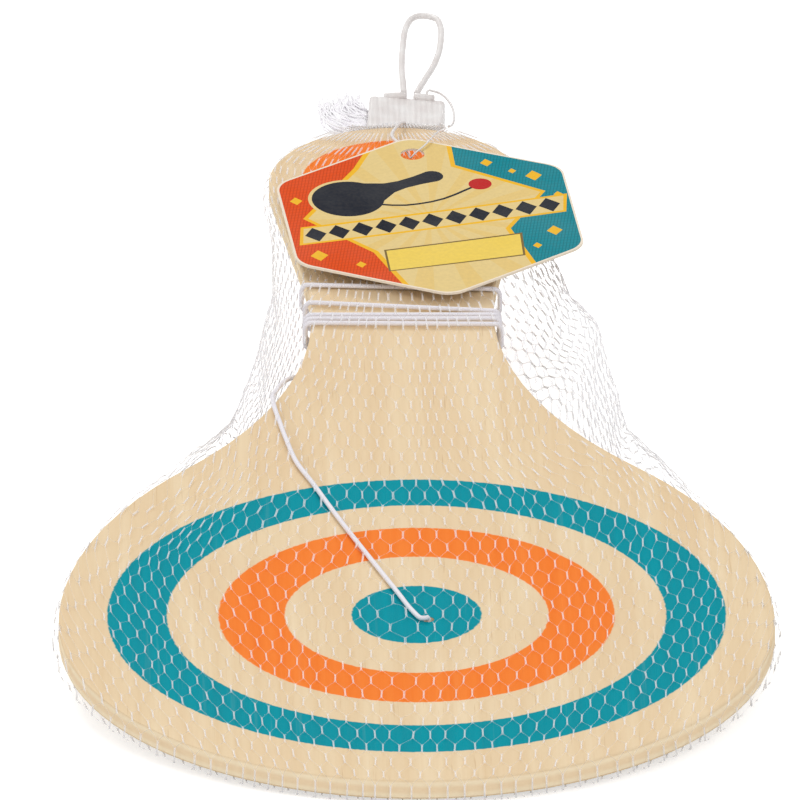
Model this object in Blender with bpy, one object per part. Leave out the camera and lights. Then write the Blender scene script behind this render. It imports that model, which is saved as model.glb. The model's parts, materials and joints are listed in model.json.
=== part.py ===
"""Paddle ball in its net bag: a plywood paddle, a ball on an elastic string, a card tag and a bag.

Everything that lies along the paddle is placed in the paddle's own frame: u to the right, v up the
handle from the target's centre, h out of the printed face. The ball lies under the handle's bulb,
so the paddle leans on it. Lengths are in metres, angles in degrees.
"""
import math

import bmesh
import bpy
from mathutils import Matrix, Vector
from mathutils.geometry import delaunay_2d_cdt

# Paddle
board_thick = 0.0040
head_radius = 0.0660
head_drop = 0.0026          # head's centre below the target's centre
shoulder_radius = 0.1000
neck_half = 0.0171
neck_at = 0.1294            # narrowest place, above the target's centre
grip_length = 0.0578        # narrowest place to the bulb's centre
bulb_radius = 0.0242
edge_round = 0.0005
hole_radius = 0.0011
hole_at = (0.0021, -0.0021)

# String
string_dia = 0.0009
strand_gap = 0.0003         # what touches keeps this much air
winding_stand_off = 0.0007  # the loops stand off the board's edges
winding_corner = 0.0013
loop_points = 24
windings_below_neck = 0.0072
winding_rise_right = (0.0, 0.0024, 0.0041, 0.0058, 0.0153)
winding_rise_left = (0.0012, 0.0030, 0.0047, 0.0101, 0.0178)
edge_turn_below_neck = 0.0347
knot_scale = 0.00082

# Ball
ball_dia = 0.0250
ball_below_bulb = 0.0092    # its centre below the bulb's centre
ball_bore_radius = 0.0010

# Tag
tag_radius = 0.0317         # centre to corner, before the corners are rounded
tag_corner_round = 0.0050
tag_thick = 0.00045
tag_turn = 6.45
tag_lean = 3.0              # its low end lies on the net, its tie lifts the other end
tag_shift = 0.0059
tag_above_neck = 0.0326
tag_hole_radius = 0.0023
tag_hole_inset = 0.0070     # hole's centre in from the corner
tie_dia = 0.0006

# Net bag
net_thick = 0.0007
net_columns = 8
net_rows = 14
net_strap = 0.0011
rim_clear = 0.0026          # net's rim outside what it holds
flange_run = 0.0023         # the front sheet turns down over this much
face_clear = 0.0010         # net's middle above the bare face at the rim
left_slack = ((0.00, 0.0), (0.30, 0.0), (0.43, 0.0006), (0.56, 0.0040), (0.68, 0.0048),
              (0.81, 0.0072), (1.00, 0.0066), (1.13, 0.0032), (1.27, 0.0012), (1.44, 0.0))
right_slack = ((0.00, 0.0), (0.30, 0.0), (0.43, 0.0030), (0.56, 0.0100), (0.68, 0.0125),
               (0.81, 0.0166), (1.00, 0.0170), (1.13, 0.0105), (1.27, 0.0054), (1.44, 0.0))
tray_rise = 0.0110          # the back sheet climbs to its rim over this much round the head
keel_half = 0.0075          # what lies flat under the ball

# Clip and hang loop
clip_width = 0.0146
clip_length = 0.0128
clip_thick = 0.0050
clip_shift = 0.0024         # its centre to the right of the handle's centre
clip_gap = 0.0018           # beyond the handle's end
clip_depth = 0.0030         # its middle below the printed face
clip_ribs = 8
rib_height = 0.0004
gather_thick = 0.0010
mouth_depth = 0.0030
loop_dia = 0.0013
loop_length = 0.0356
loop_width = 0.0092
foot_length = 0.0036
stray_dia = 0.0005

ARC_POINTS = 26             # on each round stretch of the board's outline
END_POINTS = 7              # on each half turn of a winding


def fresh_scene():
    for old in list(bpy.data.objects):
        bpy.data.objects.remove(old, do_unlink=True)


def material(name, colour, roughness, metallic=0.0):
    mat = bpy.data.materials.new(name)
    mat.use_nodes = True
    shader = mat.node_tree.nodes["Principled BSDF"]
    shader.inputs["Base Color"].default_value = (*colour, 1.0)
    shader.inputs["Roughness"].default_value = roughness
    shader.inputs["Metallic"].default_value = metallic
    mat.diffuse_color = (*colour, 1.0)
    return mat


def new_object(name, mesh_or_curve, mat, parent, location=(0, 0, 0), rotation=(0, 0, 0)):
    obj = bpy.data.objects.new(name, mesh_or_curve)
    bpy.context.scene.collection.objects.link(obj)
    obj.location = location
    obj.rotation_euler = rotation
    obj.parent = parent
    if mat is not None:
        obj.data.materials.append(mat)
    return obj


def mesh_object(name, bm, mat, parent, smooth=True, **place):
    bmesh.ops.recalc_face_normals(bm, faces=bm.faces)
    mesh = bpy.data.meshes.new(name)
    bm.to_mesh(mesh)
    bm.free()
    if smooth:
        mesh.shade_smooth()
        mesh.set_sharp_from_angle(angle=math.radians(35))
    return new_object(name, mesh, mat, parent, **place)


def smooth_curve(points, spacing):
    """Points of a Catmull-Rom curve through the route's points, about `spacing` apart."""
    route = [Vector(p) for p in points]
    route = [2 * route[0] - route[1]] + route + [2 * route[-1] - route[-2]]
    dense = []
    for a, b, c, d in zip(route, route[1:], route[2:], route[3:]):
        for step in range(20):
            t = step / 20
            dense.append(0.5 * (2 * b + (c - a) * t + (2 * a - 5 * b + 4 * c - d) * t * t
                                + (3 * b - a - 3 * c + d) * t ** 3))
    dense.append(route[-2])
    length = sum((q - p).length for p, q in zip(dense, dense[1:]))
    count = max(2, round(length / spacing))
    kept = [dense[0]]
    walked = 0.0
    for p, q in zip(dense, dense[1:]):
        step = (q - p).length
        while step > 0 and walked + step >= length * len(kept) / count - 1e-9 and len(kept) < count:
            part = (length * len(kept) / count - walked) / step
            kept.append(p.lerp(q, part))
        walked += step
    return kept + [dense[-1]]


def tube(name, points, diameter, resolution, mat, parent, closed=False, **place):
    """A round strand along the points."""
    curve = bpy.data.curves.new(name, "CURVE")
    curve.dimensions = "3D"
    curve.bevel_depth = diameter / 2
    curve.bevel_resolution = resolution
    curve.use_fill_caps = not closed
    spline = curve.splines.new("POLY")
    spline.points.add(len(points) - 1)
    for slot, point in zip(spline.points, points):
        slot.co = (*point, 1.0)
    spline.use_cyclic_u = closed
    spline.use_smooth = True
    return new_object(name, curve, mat, parent, **place)


def cutter(name, bm, parent, **place):
    obj = mesh_object(name, bm, None, parent, smooth=False, **place)
    obj.hide_render = True
    obj.display_type = "WIRE"
    return obj


def cut_away(obj, tool):
    mod = obj.modifiers.new("cut_" + tool.name, "BOOLEAN")
    mod.operation = "DIFFERENCE"
    mod.solver = "EXACT"
    mod.object = tool


def cylinder(radius, length, segments=24):
    bm = bmesh.new()
    bmesh.ops.create_cone(bm, cap_ends=True, segments=segments, radius1=radius, radius2=radius,
                          depth=length)
    return bm


def prism(outline, low, high):
    """A flat outline pulled up from one height to another."""
    bm = bmesh.new()
    face = bm.faces.new([bm.verts.new((x, y, low)) for x, y in outline])
    risen = bmesh.ops.extrude_face_region(bm, geom=[face])["geom"]
    moved = [item for item in risen if isinstance(item, bmesh.types.BMVert)]
    bmesh.ops.translate(bm, verts=moved, vec=(0, 0, high - low))
    return bm


def eased(t):
    t = min(max(t, 0.0), 1.0)
    return t * t * (3 - 2 * t)


# Outline of the board, right half: head, convex shoulder, hollow waist, straight taper and bulb

head_at = -head_drop
bulb_at = neck_at + grip_length
handle_end = bulb_at + bulb_radius
shoulder_centre = Vector((head_radius - shoulder_radius, head_at))
neck_side = Vector((neck_half, neck_at)) - shoulder_centre
waist_radius = ((neck_side.length_squared - shoulder_radius ** 2)
                / (2 * (shoulder_radius - neck_side.x)))
waist_centre = Vector((neck_half + waist_radius, neck_at))
bulb_centre = Vector((0.0, bulb_at))


def taper_points():
    """Where the straight side of the grip leaves the waist and meets the bulb."""
    span = bulb_centre - waist_centre
    lean = math.acos((waist_radius + bulb_radius) / span.length)
    along = math.atan2(span.y, span.x)
    normal = Vector((math.cos(along + lean), math.sin(along + lean)))
    return waist_centre + waist_radius * normal, bulb_centre - bulb_radius * normal


waist_end, bulb_start = taper_points()
shoulder_end = shoulder_centre + (waist_centre - shoulder_centre).normalized() * shoulder_radius


def board_half(v):
    """Half width of the board at height v."""
    if v <= head_at:
        return math.sqrt(max(head_radius ** 2 - (v - head_at) ** 2, 0.0))
    if v <= shoulder_end.y:
        return shoulder_centre.x + math.sqrt(shoulder_radius ** 2 - (v - head_at) ** 2)
    if v <= waist_end.y:
        return waist_centre.x - math.sqrt(waist_radius ** 2 - (v - neck_at) ** 2)
    if v <= bulb_start.y:
        part = (v - waist_end.y) / (bulb_start.y - waist_end.y)
        return waist_end.x + part * (bulb_start.x - waist_end.x)
    return math.sqrt(max(bulb_radius ** 2 - (v - bulb_at) ** 2, 0.0))


def arc(centre, radius, start, stop, count):
    """Points round a centre from one angle to another, the last left out."""
    for step in range(count):
        angle = start + (stop - start) * step / count
        yield (centre[0] + radius * math.cos(angle), centre[1] + radius * math.sin(angle))


def board_outline():
    shoulder_sweep = math.atan2(shoulder_end.y - head_at, shoulder_end.x - shoulder_centre.x)
    waist_low = math.atan2(shoulder_end.y - neck_at, shoulder_end.x - waist_centre.x)
    waist_high = math.atan2(waist_end.y - neck_at, waist_end.x - waist_centre.x)
    bulb_low = math.atan2(bulb_start.y - bulb_at, bulb_start.x)
    right = list(arc((0, head_at), head_radius, -math.pi / 2, 0, ARC_POINTS))
    right += arc(shoulder_centre, shoulder_radius, 0, shoulder_sweep, ARC_POINTS // 2)
    right += arc(waist_centre, waist_radius, waist_low % math.tau, waist_high, ARC_POINTS // 2)
    right += [tuple(waist_end)]
    right += arc(bulb_centre, bulb_radius, bulb_low, math.pi / 2, ARC_POINTS)
    left = [(-x, y) for x, y in reversed(right[1:])]
    return right + [(0.0, handle_end)] + left


# How the paddle leans: its head's lower edge and the ball both lie on the back sheet of the net

rest_height = net_thick + strand_gap
ball_radius = ball_dia / 2
ball_at = bulb_at - ball_below_bulb
ball_drop = board_thick + strand_gap + ball_radius
edge_to_ball = Vector((ball_at + head_radius - head_at, ball_drop - board_thick))
lean = math.asin(ball_radius / edge_to_ball.length) + math.atan2(edge_to_ball.y, edge_to_ball.x)
lean_height = (rest_height + board_thick * math.cos(lean)
               - (head_at - head_radius) * math.sin(lean))


def on_paddle(u, v, h):
    """Place in the standing frame of a point given in the paddle's frame."""
    return Vector((u, v * math.cos(lean) - h * math.sin(lean),
                   lean_height + v * math.sin(lean) + h * math.cos(lean)))


def make_paddle(mats, lie):
    paddle = mesh_object("paddle", prism(board_outline(), -board_thick, 0.0), mats["wood"], lie)
    rounded = paddle.modifiers.new("sanded_edge", "BEVEL")
    rounded.width = edge_round
    rounded.segments = 2
    rounded.limit_method = "ANGLE"
    rounded.angle_limit = math.radians(60)
    drill = cutter("string_hole_drill", cylinder(hole_radius, 3 * board_thick), lie,
                   location=(*hole_at, -board_thick / 2))
    cut_away(paddle, drill)


# String

string_radius = string_dia / 2
net_half_thick = net_thick / 2
string_cover = strand_gap + string_dia + strand_gap + net_half_thick
over_face = strand_gap + string_radius
under_board = -board_thick - strand_gap - string_radius
winding_low = neck_at - windings_below_neck
winding_high = winding_low + max(winding_rise_left)


def winding_route():
    """Five loops round the neck, each a rounded rectangle that climbs to the next."""
    half_height = board_thick / 2 + strand_gap + string_radius
    mid = -board_thick / 2
    flat_steps = (loop_points - 2 * END_POINTS) // 2
    loops = list(zip(winding_rise_right, winding_rise_left))
    points = []
    for turn, (rise_right, rise_left) in enumerate(loops):
        right_v = winding_low + rise_right
        left_v = winding_low + rise_left
        right_u = board_half(right_v) + winding_stand_off + string_radius - winding_corner
        left_u = winding_corner - (board_half(left_v) + winding_stand_off + string_radius)
        points += end_turn(right_u, right_v, mid, half_height, 1)
        for step in range(1, flat_steps + 1):
            part = step / (flat_steps + 1)
            points.append((right_u + (left_u - right_u) * part,
                           right_v + (left_v - right_v) * part, mid + half_height))
        points += end_turn(left_u, left_v, mid, half_height, -1)
        if turn + 1 < len(loops):
            next_v = winding_low + loops[turn + 1][0]
            for step in range(1, flat_steps + 1):
                part = step / (flat_steps + 1)
                points.append((left_u + (right_u - left_u) * part,
                               left_v + (next_v - left_v) * part, mid - half_height))
    first = Vector(points[0])
    last = Vector(points[-1])
    straight = Vector((1.5 * string_dia, 0, 0))
    lead_in = [first - 2 * straight, first - straight]
    lead_out = [last + straight, last + 2 * straight]
    return lead_in + [Vector(p) for p in points] + lead_out


def end_turn(u, v, mid, half_height, side):
    """A loop's turn round one side of the neck: two rounded corners and a straight between them."""
    drop = half_height - winding_corner
    low_corner = [(-90 + 45 * step, -drop) for step in range(3)]
    high_corner = [(45 * step, drop) for step in range(3)]
    points = []
    for angle, rise in low_corner + [(0, 0.0)] + high_corner:
        across = side * winding_corner * math.cos(math.radians(angle))
        climb = side * (rise + winding_corner * math.sin(math.radians(angle)))
        points.append((u + across, v, mid + climb))
    return points


def least_self_gap(points, diameter):
    """Least air between stretches of one strand that lie more than four diameters apart along it."""
    spots = []
    walked = 0.0
    for p, q in zip(points, points[1:]):
        for step in range(4):
            spots.append((walked + (q - p).length * step / 4, p.lerp(q, step / 4)))
        walked += (q - p).length
    least = 1.0
    for i, (at, p) in enumerate(spots):
        for other_at, q in spots[i + 1:]:
            if other_at - at > 4 * diameter:
                least = min(least, (q - p).length - diameter)
    return least


def front_route(join):
    """From the knot behind the board through the hole, over the face and round the left edge."""
    u, v = hole_at
    edge_v = neck_at - edge_turn_below_neck
    edge_u = -board_half(edge_v)
    return [(u, v, under_board), (u, v, -0.5 * board_thick), (u, v, 0.0002),
            (u - 0.0003, v + 0.0006, 0.0009), (0.0007, 0.0006, over_face + 0.0002),
            (-0.0029, 0.0086, over_face), (-0.0064, 0.0191, over_face),
            (-0.0098, 0.0304, over_face), (-0.0142, 0.0451, over_face),
            (-0.0186, 0.0607, over_face), (edge_u + 0.0010, edge_v - 0.0188, over_face),
            (edge_u - 0.0012, edge_v - 0.0085, over_face),
            (edge_u - 0.0023, edge_v - 0.0035, over_face - 0.0001),
            (edge_u - 0.0029, edge_v, -0.0006), (edge_u - 0.0025, edge_v + 0.0027, -0.0024),
            (edge_u - 0.0009, edge_v + 0.0047, -0.0042),
            (edge_u + 0.0026, edge_v + 0.0059, under_board - 0.0002),
            (edge_u + 0.0081, edge_v + 0.0083, under_board), (-0.0060, edge_v + 0.0143, under_board),
            (0.0010, edge_v + 0.0213, under_board), (join.x - 0.0050, join.y - 0.0009, under_board),
            (join.x - 0.0020, join.y, under_board), (join.x, join.y, under_board)]


def tail_route(join, ball_v, ball_h):
    """From the neck down to the ball's bore and out at its far side."""
    return [(join.x, join.y, under_board), (join.x + 0.0020, join.y, under_board),
            (join.x + 0.0060, join.y + 0.0010, under_board - 0.0003),
            (-0.0030, ball_v - 0.0300, under_board - 0.0015),
            (-0.0008, ball_v - 0.0245, under_board - 0.0045),
            (0.0, ball_v - ball_radius - 0.0065, ball_h + 0.0015), (0.0, ball_v - ball_radius, ball_h),
            (0.0, ball_v, ball_h), (0.0, ball_v + ball_radius + strand_gap, ball_h)]


def knot_route(scale):
    """A round overhand knot."""
    points = []
    for step in range(26):
        t = math.tau * step / 26
        points.append(Vector((math.sin(t) + 2 * math.sin(2 * t), math.cos(t) - 2 * math.cos(2 * t),
                              -1.1 * math.sin(3 * t))) * scale)
    return points


def make_string(mats, lie):
    loops = winding_route()
    print("string_windings: least gap to itself %.2f mm" % (least_self_gap(loops, string_dia) * 1000))
    tube("string_windings", loops, string_dia, 1, mats["string"], lie)
    seat = Vector((strand_gap, 0, 0))
    front = smooth_curve(front_route(loops[0] - seat), 2.6 * string_dia)
    tube("string_front", front, string_dia, 2, mats["string"], lie)
    tail = smooth_curve(tail_route(loops[-1] + seat, ball_at, -ball_drop), 2.6 * string_dia)
    tube("string_tail", tail, string_dia, 2, mats["string"], lie)
    tube("paddle_knot", knot_route(knot_scale), string_dia, 1, mats["string"], lie, closed=True,
         location=(*hole_at, under_board - strand_gap - string_radius - 1.1 * knot_scale))
    tube("ball_knot", knot_route(knot_scale), string_dia, 1, mats["string"], lie, closed=True,
         location=(0, ball_at + ball_radius + 2 * strand_gap + 1.1 * knot_scale + string_radius,
                   -ball_drop), rotation=(math.pi / 2, 0, 0))


def make_ball(mats, lie):
    bm = bmesh.new()
    bmesh.ops.create_uvsphere(bm, u_segments=32, v_segments=18, radius=ball_radius)
    ball = mesh_object("ball", bm, mats["rubber"], lie, location=(0, ball_at, -ball_drop),
                       rotation=(math.pi / 2, 0, 0))
    bore = cutter("ball_bore_drill", cylinder(ball_bore_radius, 1.2 * ball_dia, 12), lie,
                  location=(0, ball_at, -ball_drop), rotation=(math.pi / 2, 0, 0))
    cut_away(ball, bore)


# Tag

tag_centre = Vector((tag_shift, neck_at + tag_above_neck))


def tag_corners():
    """Corners of the card in the paddle's frame, the punched one first."""
    for step in range(6):
        angle = math.radians(90 + tag_turn - 60 * step)
        yield tag_centre + tag_radius * Vector((math.cos(angle), math.sin(angle)))


tag_low = min(corner.y for corner in tag_corners())
tag_high = max(corner.y for corner in tag_corners())
tag_rise = math.tan(math.radians(tag_lean))
tag_top_corner = next(tag_corners())
tag_hole = tag_top_corner.lerp(tag_centre, tag_hole_inset / tag_radius)


def tag_under(v):
    """Height of the card's underside above the face; it lies on the net over the string."""
    return string_cover + net_half_thick + strand_gap + (v - tag_low) * tag_rise


def rounded_outline(corners, radius, steps=5):
    """Outline of a polygon whose corners are arcs."""
    points = []
    count = len(corners)
    for i, corner in enumerate(corners):
        before = (corners[i - 1] - corner).normalized()
        after = (corners[(i + 1) % count] - corner).normalized()
        half = before.angle(after) / 2
        centre = corner + (before + after).normalized() * radius / math.sin(half)
        start = corner + before * radius / math.tan(half) - centre
        stop = corner + after * radius / math.tan(half) - centre
        turn = start.angle_signed(stop)
        for step in range(steps):
            angle = -turn * step / (steps - 1)
            spot = Matrix.Rotation(angle, 2) @ start + centre
            points.append((spot.x, spot.y))
    return points


def make_tag(mats, lie):
    corners = [corner - tag_hole for corner in tag_corners()]
    place = {"location": (*tag_hole, tag_under(tag_hole.y)),
             "rotation": (math.radians(tag_lean), 0, 0)}
    card = prism(rounded_outline(corners, tag_corner_round), 0.0, tag_thick)
    tag = mesh_object("tag", card, mats["card"], lie, **place)
    punch = cutter("tag_hole_punch", cylinder(tag_hole_radius, 6 * tag_thick), lie, **place)
    cut_away(tag, punch)
    u, v = tag_hole
    radius = tie_dia / 2
    over = tag_thick + strand_gap + radius
    crest = face_clear + net_half_thick + 2 * strand_gap + radius
    on_clip = clip_thick / 2 - clip_depth + strand_gap + radius
    start = [(clip_low + 0.0042, on_clip), (clip_low + 0.0014, on_clip + 0.0003),
             (handle_end - 0.0012, crest)]
    beyond = tag_high + 0.0008
    route = [(u - 0.0006, along, height) for along, height in start]
    route += [(u - 0.0005, beyond, tag_under(beyond) + over + 0.0001),
              (u - 0.0003, v + 0.0025, tag_under(v + 0.0025) + over),
              (u, v + 0.0002, tag_under(v) + tag_thick / 2),
              (u + 0.0003, v + 0.0025, tag_under(v + 0.0025) - strand_gap - radius),
              (u + 0.0006, beyond, tag_under(beyond) - strand_gap - radius)]
    route += [(u + 0.0012, along, height) for along, height in reversed(start)]
    tube("tag_tie", smooth_curve(route, 2 * tie_dia), tie_dia, 1, mats["net"], lie)


# Net bag: two sheets of honeycomb net that meet at a rim round the paddle

bag_radius = head_radius + rim_clear
bag_top = handle_end + clip_gap - strand_gap
clip_low = handle_end + clip_gap
mouth_half = clip_thick / 2 - 0.0005


def hermite(stations, x):
    """Value at x of a smooth curve through (x, value) stations."""
    if x <= stations[0][0]:
        return stations[0][1]
    if x >= stations[-1][0]:
        return stations[-1][1]
    index = next(i for i, station in enumerate(stations) if station[0] > x) - 1
    (xa, ya), (xb, yb) = stations[index], stations[index + 1]
    before = stations[max(index - 1, 0)]
    after = stations[min(index + 2, len(stations) - 1)]
    slope_a = (yb - before[1]) / (xb - before[0])
    slope_b = (after[1] - ya) / (after[0] - xa)
    t = (x - xa) / (xb - xa)
    run = xb - xa
    return (ya * (1 + 2 * t) * (1 - t) ** 2 + slope_a * run * t * (1 - t) ** 2
            + yb * t * t * (3 - 2 * t) - slope_b * run * t * t * (1 - t))


def slack_stations(side):
    """(v, room beside the board) up one side."""
    stations = []
    for part, extra in right_slack if side > 0 else left_slack:
        stations.append((head_at + part * (neck_at - head_at), extra))
    return stations


slack = {1: slack_stations(1), -1: slack_stations(-1)}
throat_at = bulb_at + 0.86 * bulb_radius
throat_half = clip_width / 2 - 0.0012


def bag_half(side, v):
    """Half width of the bag on one side at height v."""
    if v <= throat_at:
        return board_half(max(v, head_at)) + rim_clear + max(hermite(slack[side], v), 0.0)
    start = board_half(throat_at) + rim_clear
    end = throat_half + side * clip_shift
    return start + (end - start) * (v - throat_at) / (bag_top - throat_at)


def rim_distance(u, v):
    """How far a point lies inside the bag's rim."""
    if v < head_at:
        return bag_radius - math.hypot(u, v - head_at)
    return bag_half(1 if u > 0 else -1, v) - abs(u)


def front_height(v):
    """Height of the front sheet's middle over the face, inside its turned-down rim."""
    return hermite((
        (head_at - head_radius, face_clear), (hole_at[1] - 0.0150, string_cover),
        (winding_high + 0.0020, string_cover), (winding_high + 0.0120, face_clear),
        (handle_end, face_clear), (bag_top, mouth_half - clip_depth - 0.0007)), v)


def rim_height(v):
    """Height of the back sheet's rim, in the standing frame."""
    drop = hermite(((throat_at, board_thick + 0.0002), (bag_top, clip_depth + 0.0005)), v)
    return max(on_paddle(0, v, -drop).z, net_half_thick)


def front_spot(u, v):
    rim = rim_height(v) + net_thick + strand_gap
    top = on_paddle(0, v, front_height(v))
    part = min(rim_distance(u, v) / flange_run, 1.0)
    plan = on_paddle(u, v, -board_thick)
    return Vector((u, plan.y + (top.y - plan.y) * part, rim + (top.z - rim) * part))


def tray_run(side, v):
    """How far in from its rim the back sheet reaches the level that it lies on."""
    part = min(max((v - head_at) / (ball_at - head_at), 0.0), 1.0)
    flat_half = (bag_radius - tray_rise) + (keel_half - bag_radius + tray_rise) * part
    if v > throat_at:
        return tray_rise
    return max(bag_half(side, max(v, head_at)) - flat_half, flange_run)


def back_spot(u, v):
    plan = on_paddle(u, v, -board_thick)
    rim = rim_height(v)
    part = rim_distance(u, v) / tray_run(1 if u > 0 else -1, v)
    flat = rim + (net_half_thick - rim) * (0.55 * min(part, 1.0) + 0.45 * eased(part))
    ramp_start = ball_at + ball_radius + 0.0010
    end = on_paddle(0, v, -board_thick - strand_gap - net_half_thick - 0.0001).z
    part = eased((v - ramp_start) / (bag_top - ramp_start))
    return Vector((u, plan.y, flat + (end - flat) * part * eased(rim_distance(u, v) / flange_run)))


def bag_edge(inset):
    """Plan of the bag's edge, down the left side, round the head and up the right side."""
    side_steps = 34
    heights = [bag_top + (head_at - bag_top) * step / side_steps for step in range(side_steps)]
    left = [(inset - bag_half(-1, v), v) for v in heights]
    right = [(bag_half(1, v) - inset, v) for v in reversed(heights)]
    foot = list(arc((0, head_at), bag_radius - inset, -math.pi, 0, 40))
    return left + foot + [(bag_radius - inset, head_at)] + right


def net_gaps():
    """Six-sided gaps in rows half a step apart, drawn together towards the handle's end."""
    inner = bag_radius - flange_run - 0.0006
    holes_top = handle_end - 0.0080
    step_s = 2 / net_columns
    step_t = 1 / net_rows
    corner_steps = ((0, 0.74), (-0.5, 0.26), (-0.5, -0.26), (0, -0.74), (0.5, -0.26), (0.5, 0.26))

    def spot(s, t):
        s = min(max(s, -1.0), 1.0)
        low = head_at - inner * math.sqrt(1 - min(s * s, 1.0))
        v = low + (holes_top - low) * min(max(t, 0.0), 1.0)
        half = inner
        if v > head_at:
            half = bag_half(1 if s > 0 else -1, v) - flange_run - 0.0006
        return s * half, v, half, holes_top - low

    for row in range(net_rows):
        offset = 0.5 * (row % 2)
        for column in range(net_columns + row % 2):
            s = (column + 0.5 - offset) * step_s - 1
            t = (row + 0.5) * step_t
            half, tall = spot(s, t)[2:]
            keep_s = 1 - min(net_strap / (half * step_s), 0.40)
            keep_t = 1 - min(net_strap / (tall * step_t), 0.40)
            corners = []
            for ds, dt in corner_steps:
                u, v = spot(s + ds * step_s * keep_s, t + dt * step_t * keep_t)[:2]
                if not corners or math.dist(corners[-1], (u, v)) > 0.0003:
                    corners.append((u, v))
            if math.dist(corners[0], corners[-1]) < 0.0003:
                corners.pop()
            if len(corners) > 3:
                yield corners


def net_sheet(name, spot, mat, parent):
    """One sheet: its plan is filled round the gaps, raised to its height and given its thickness."""
    points = []
    edges = []
    faces = []

    def add_line(line, closed):
        first = len(points)
        points.extend(Vector(p) for p in line)
        run = list(range(first, len(points)))
        if closed:
            faces.append(run)
        else:
            edges.extend(zip(run, run[1:]))

    add_line(bag_edge(0.0), True)
    add_line(bag_edge(flange_run), False)
    for v in (handle_end - 0.0055, handle_end - 0.0030, handle_end - 0.0010, handle_end + 0.0003):
        add_line([(-bag_half(-1, v), v), (bag_half(1, v), v)], False)
    for gap in net_gaps():
        add_line(gap, True)
    flat, _, kept, _, _, owners = delaunay_2d_cdt(points, edges, faces, 1, 1e-7)
    bm = bmesh.new()
    places = [spot(p.x, p.y) for p in flat]
    upper = [bm.verts.new(p + Vector((0, 0, net_half_thick))) for p in places]
    lower = [bm.verts.new(p - Vector((0, 0, net_half_thick))) for p in places]
    used = {}
    for face, owner in zip(kept, owners):
        if list(owner) != [0]:
            continue
        bm.faces.new([upper[i] for i in face])
        bm.faces.new([lower[i] for i in reversed(face)])
        for a, b in zip(face, face[1:] + face[:1]):
            used[a, b] = True
    for a, b in used:
        if (b, a) not in used:
            bm.faces.new((upper[b], upper[a], lower[a], lower[b]))
    loose = [vert for vert in bm.verts if not vert.link_faces]
    bmesh.ops.delete(bm, geom=loose, context="VERTS")
    mesh_object(name, bm, mat, parent, smooth=False)


# Clip, gathered net and hang loop

ON_SIDE = Matrix(((1, 0, 0, 0), (0, 0, 1, 0), (0, 1, 0, 0), (0, 0, 0, 1)))
clip_left = clip_shift - clip_width / 2
clip_right = clip_shift + clip_width / 2
clip_high = clip_low + clip_length


def clip_profile(side):
    """Section across one half: ribs outside, a flat inside and a lip at the right."""
    inner = gather_thick / 2 + strand_gap
    outer = clip_thick / 2 - rib_height
    pitch = clip_width / clip_ribs
    points = [(clip_left, inner), (clip_right - 0.0014, inner),
              (clip_right - 0.0014, strand_gap / 2), (clip_right, strand_gap / 2)]
    for rib in range(clip_ribs):
        start = clip_right - rib * pitch
        for step in range(5):
            angle = math.pi * step / 5
            points.append((start - pitch / 2 + pitch / 2 * math.cos(angle),
                           outer + rib_height * math.sin(angle)))
    points.append((clip_left, outer))
    return [(u, side * h) for u, h in points]


def mouth_wedge(shrink):
    """The funnel at the clip's lower end, or the net that fills it, seen from the side."""
    half = mouth_half - shrink
    neck = gather_thick / 2 + strand_gap - shrink
    bm = bmesh.new()
    left = clip_left + 0.0010 + shrink
    right = clip_right - 0.0016 - shrink
    low = clip_low - (0.0004 if shrink == 0 else 0.0)
    rings = []
    for v, h in ((low, half), (clip_low + mouth_depth, neck)):
        rings.append([bm.verts.new((u, v, k)) for u, k in
                      ((left, -h), (right, -h), (right, h), (left, h))])
    bm.faces.new(rings[0])
    bm.faces.new(rings[1])
    for i in range(4):
        j = (i + 1) % 4
        bm.faces.new((rings[0][i], rings[0][j], rings[1][j], rings[1][i]))
    return bm


def gather_outline():
    """Plan of the flattened net in the clip, with its cut tail to the left."""
    right = clip_right - 0.0018
    left = clip_left - 0.0004
    points = [(right, clip_low + 0.0010), (right, clip_high - 0.0003), (left, clip_high - 0.0030)]
    tips = ((-0.0015, 0.0105), (-0.0040, 0.0108), (-0.0062, 0.0100), (-0.0078, 0.0082),
            (-0.0086, 0.0060))
    for reach, rise in tips:
        points.append((left + reach + 0.0008, clip_low + rise - 0.0032))
        points.append((left + reach - 0.0002, clip_low + rise))
        points.append((left + reach - 0.0008, clip_low + rise - 0.0002))
        points.append((left + reach - 0.0004, clip_low + rise - 0.0036))
    points.append((left - 0.0072, clip_low + 0.0010))
    points.append((left - 0.0030, clip_low + 0.0006))
    return points


def make_clip(mats, lie):
    middle = (0, 0, -clip_depth)
    for side, name in ((1, "clip_front"), (-1, "clip_back")):
        half = prism(clip_profile(side), clip_low, clip_high)
        half.transform(ON_SIDE)
        half = mesh_object(name, half, mats["clip"], lie, location=middle)
        funnel = cutter(name + "_funnel", mouth_wedge(0.0), lie, location=middle)
        cut_away(half, funnel)
    gathered = mesh_object("net_gather", prism(gather_outline(), -gather_thick / 2, gather_thick / 2),
                           mats["net"], lie, location=middle)
    wedge = cutter("net_gather_wedge", mouth_wedge(strand_gap), lie, location=middle)
    joined = gathered.modifiers.new("joined_wedge", "BOOLEAN")
    joined.operation = "UNION"
    joined.solver = "EXACT"
    joined.object = wedge


foot_h = clip_thick / 2 - clip_depth - loop_dia / 2
foot_v = clip_high + strand_gap + loop_dia / 2


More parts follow.
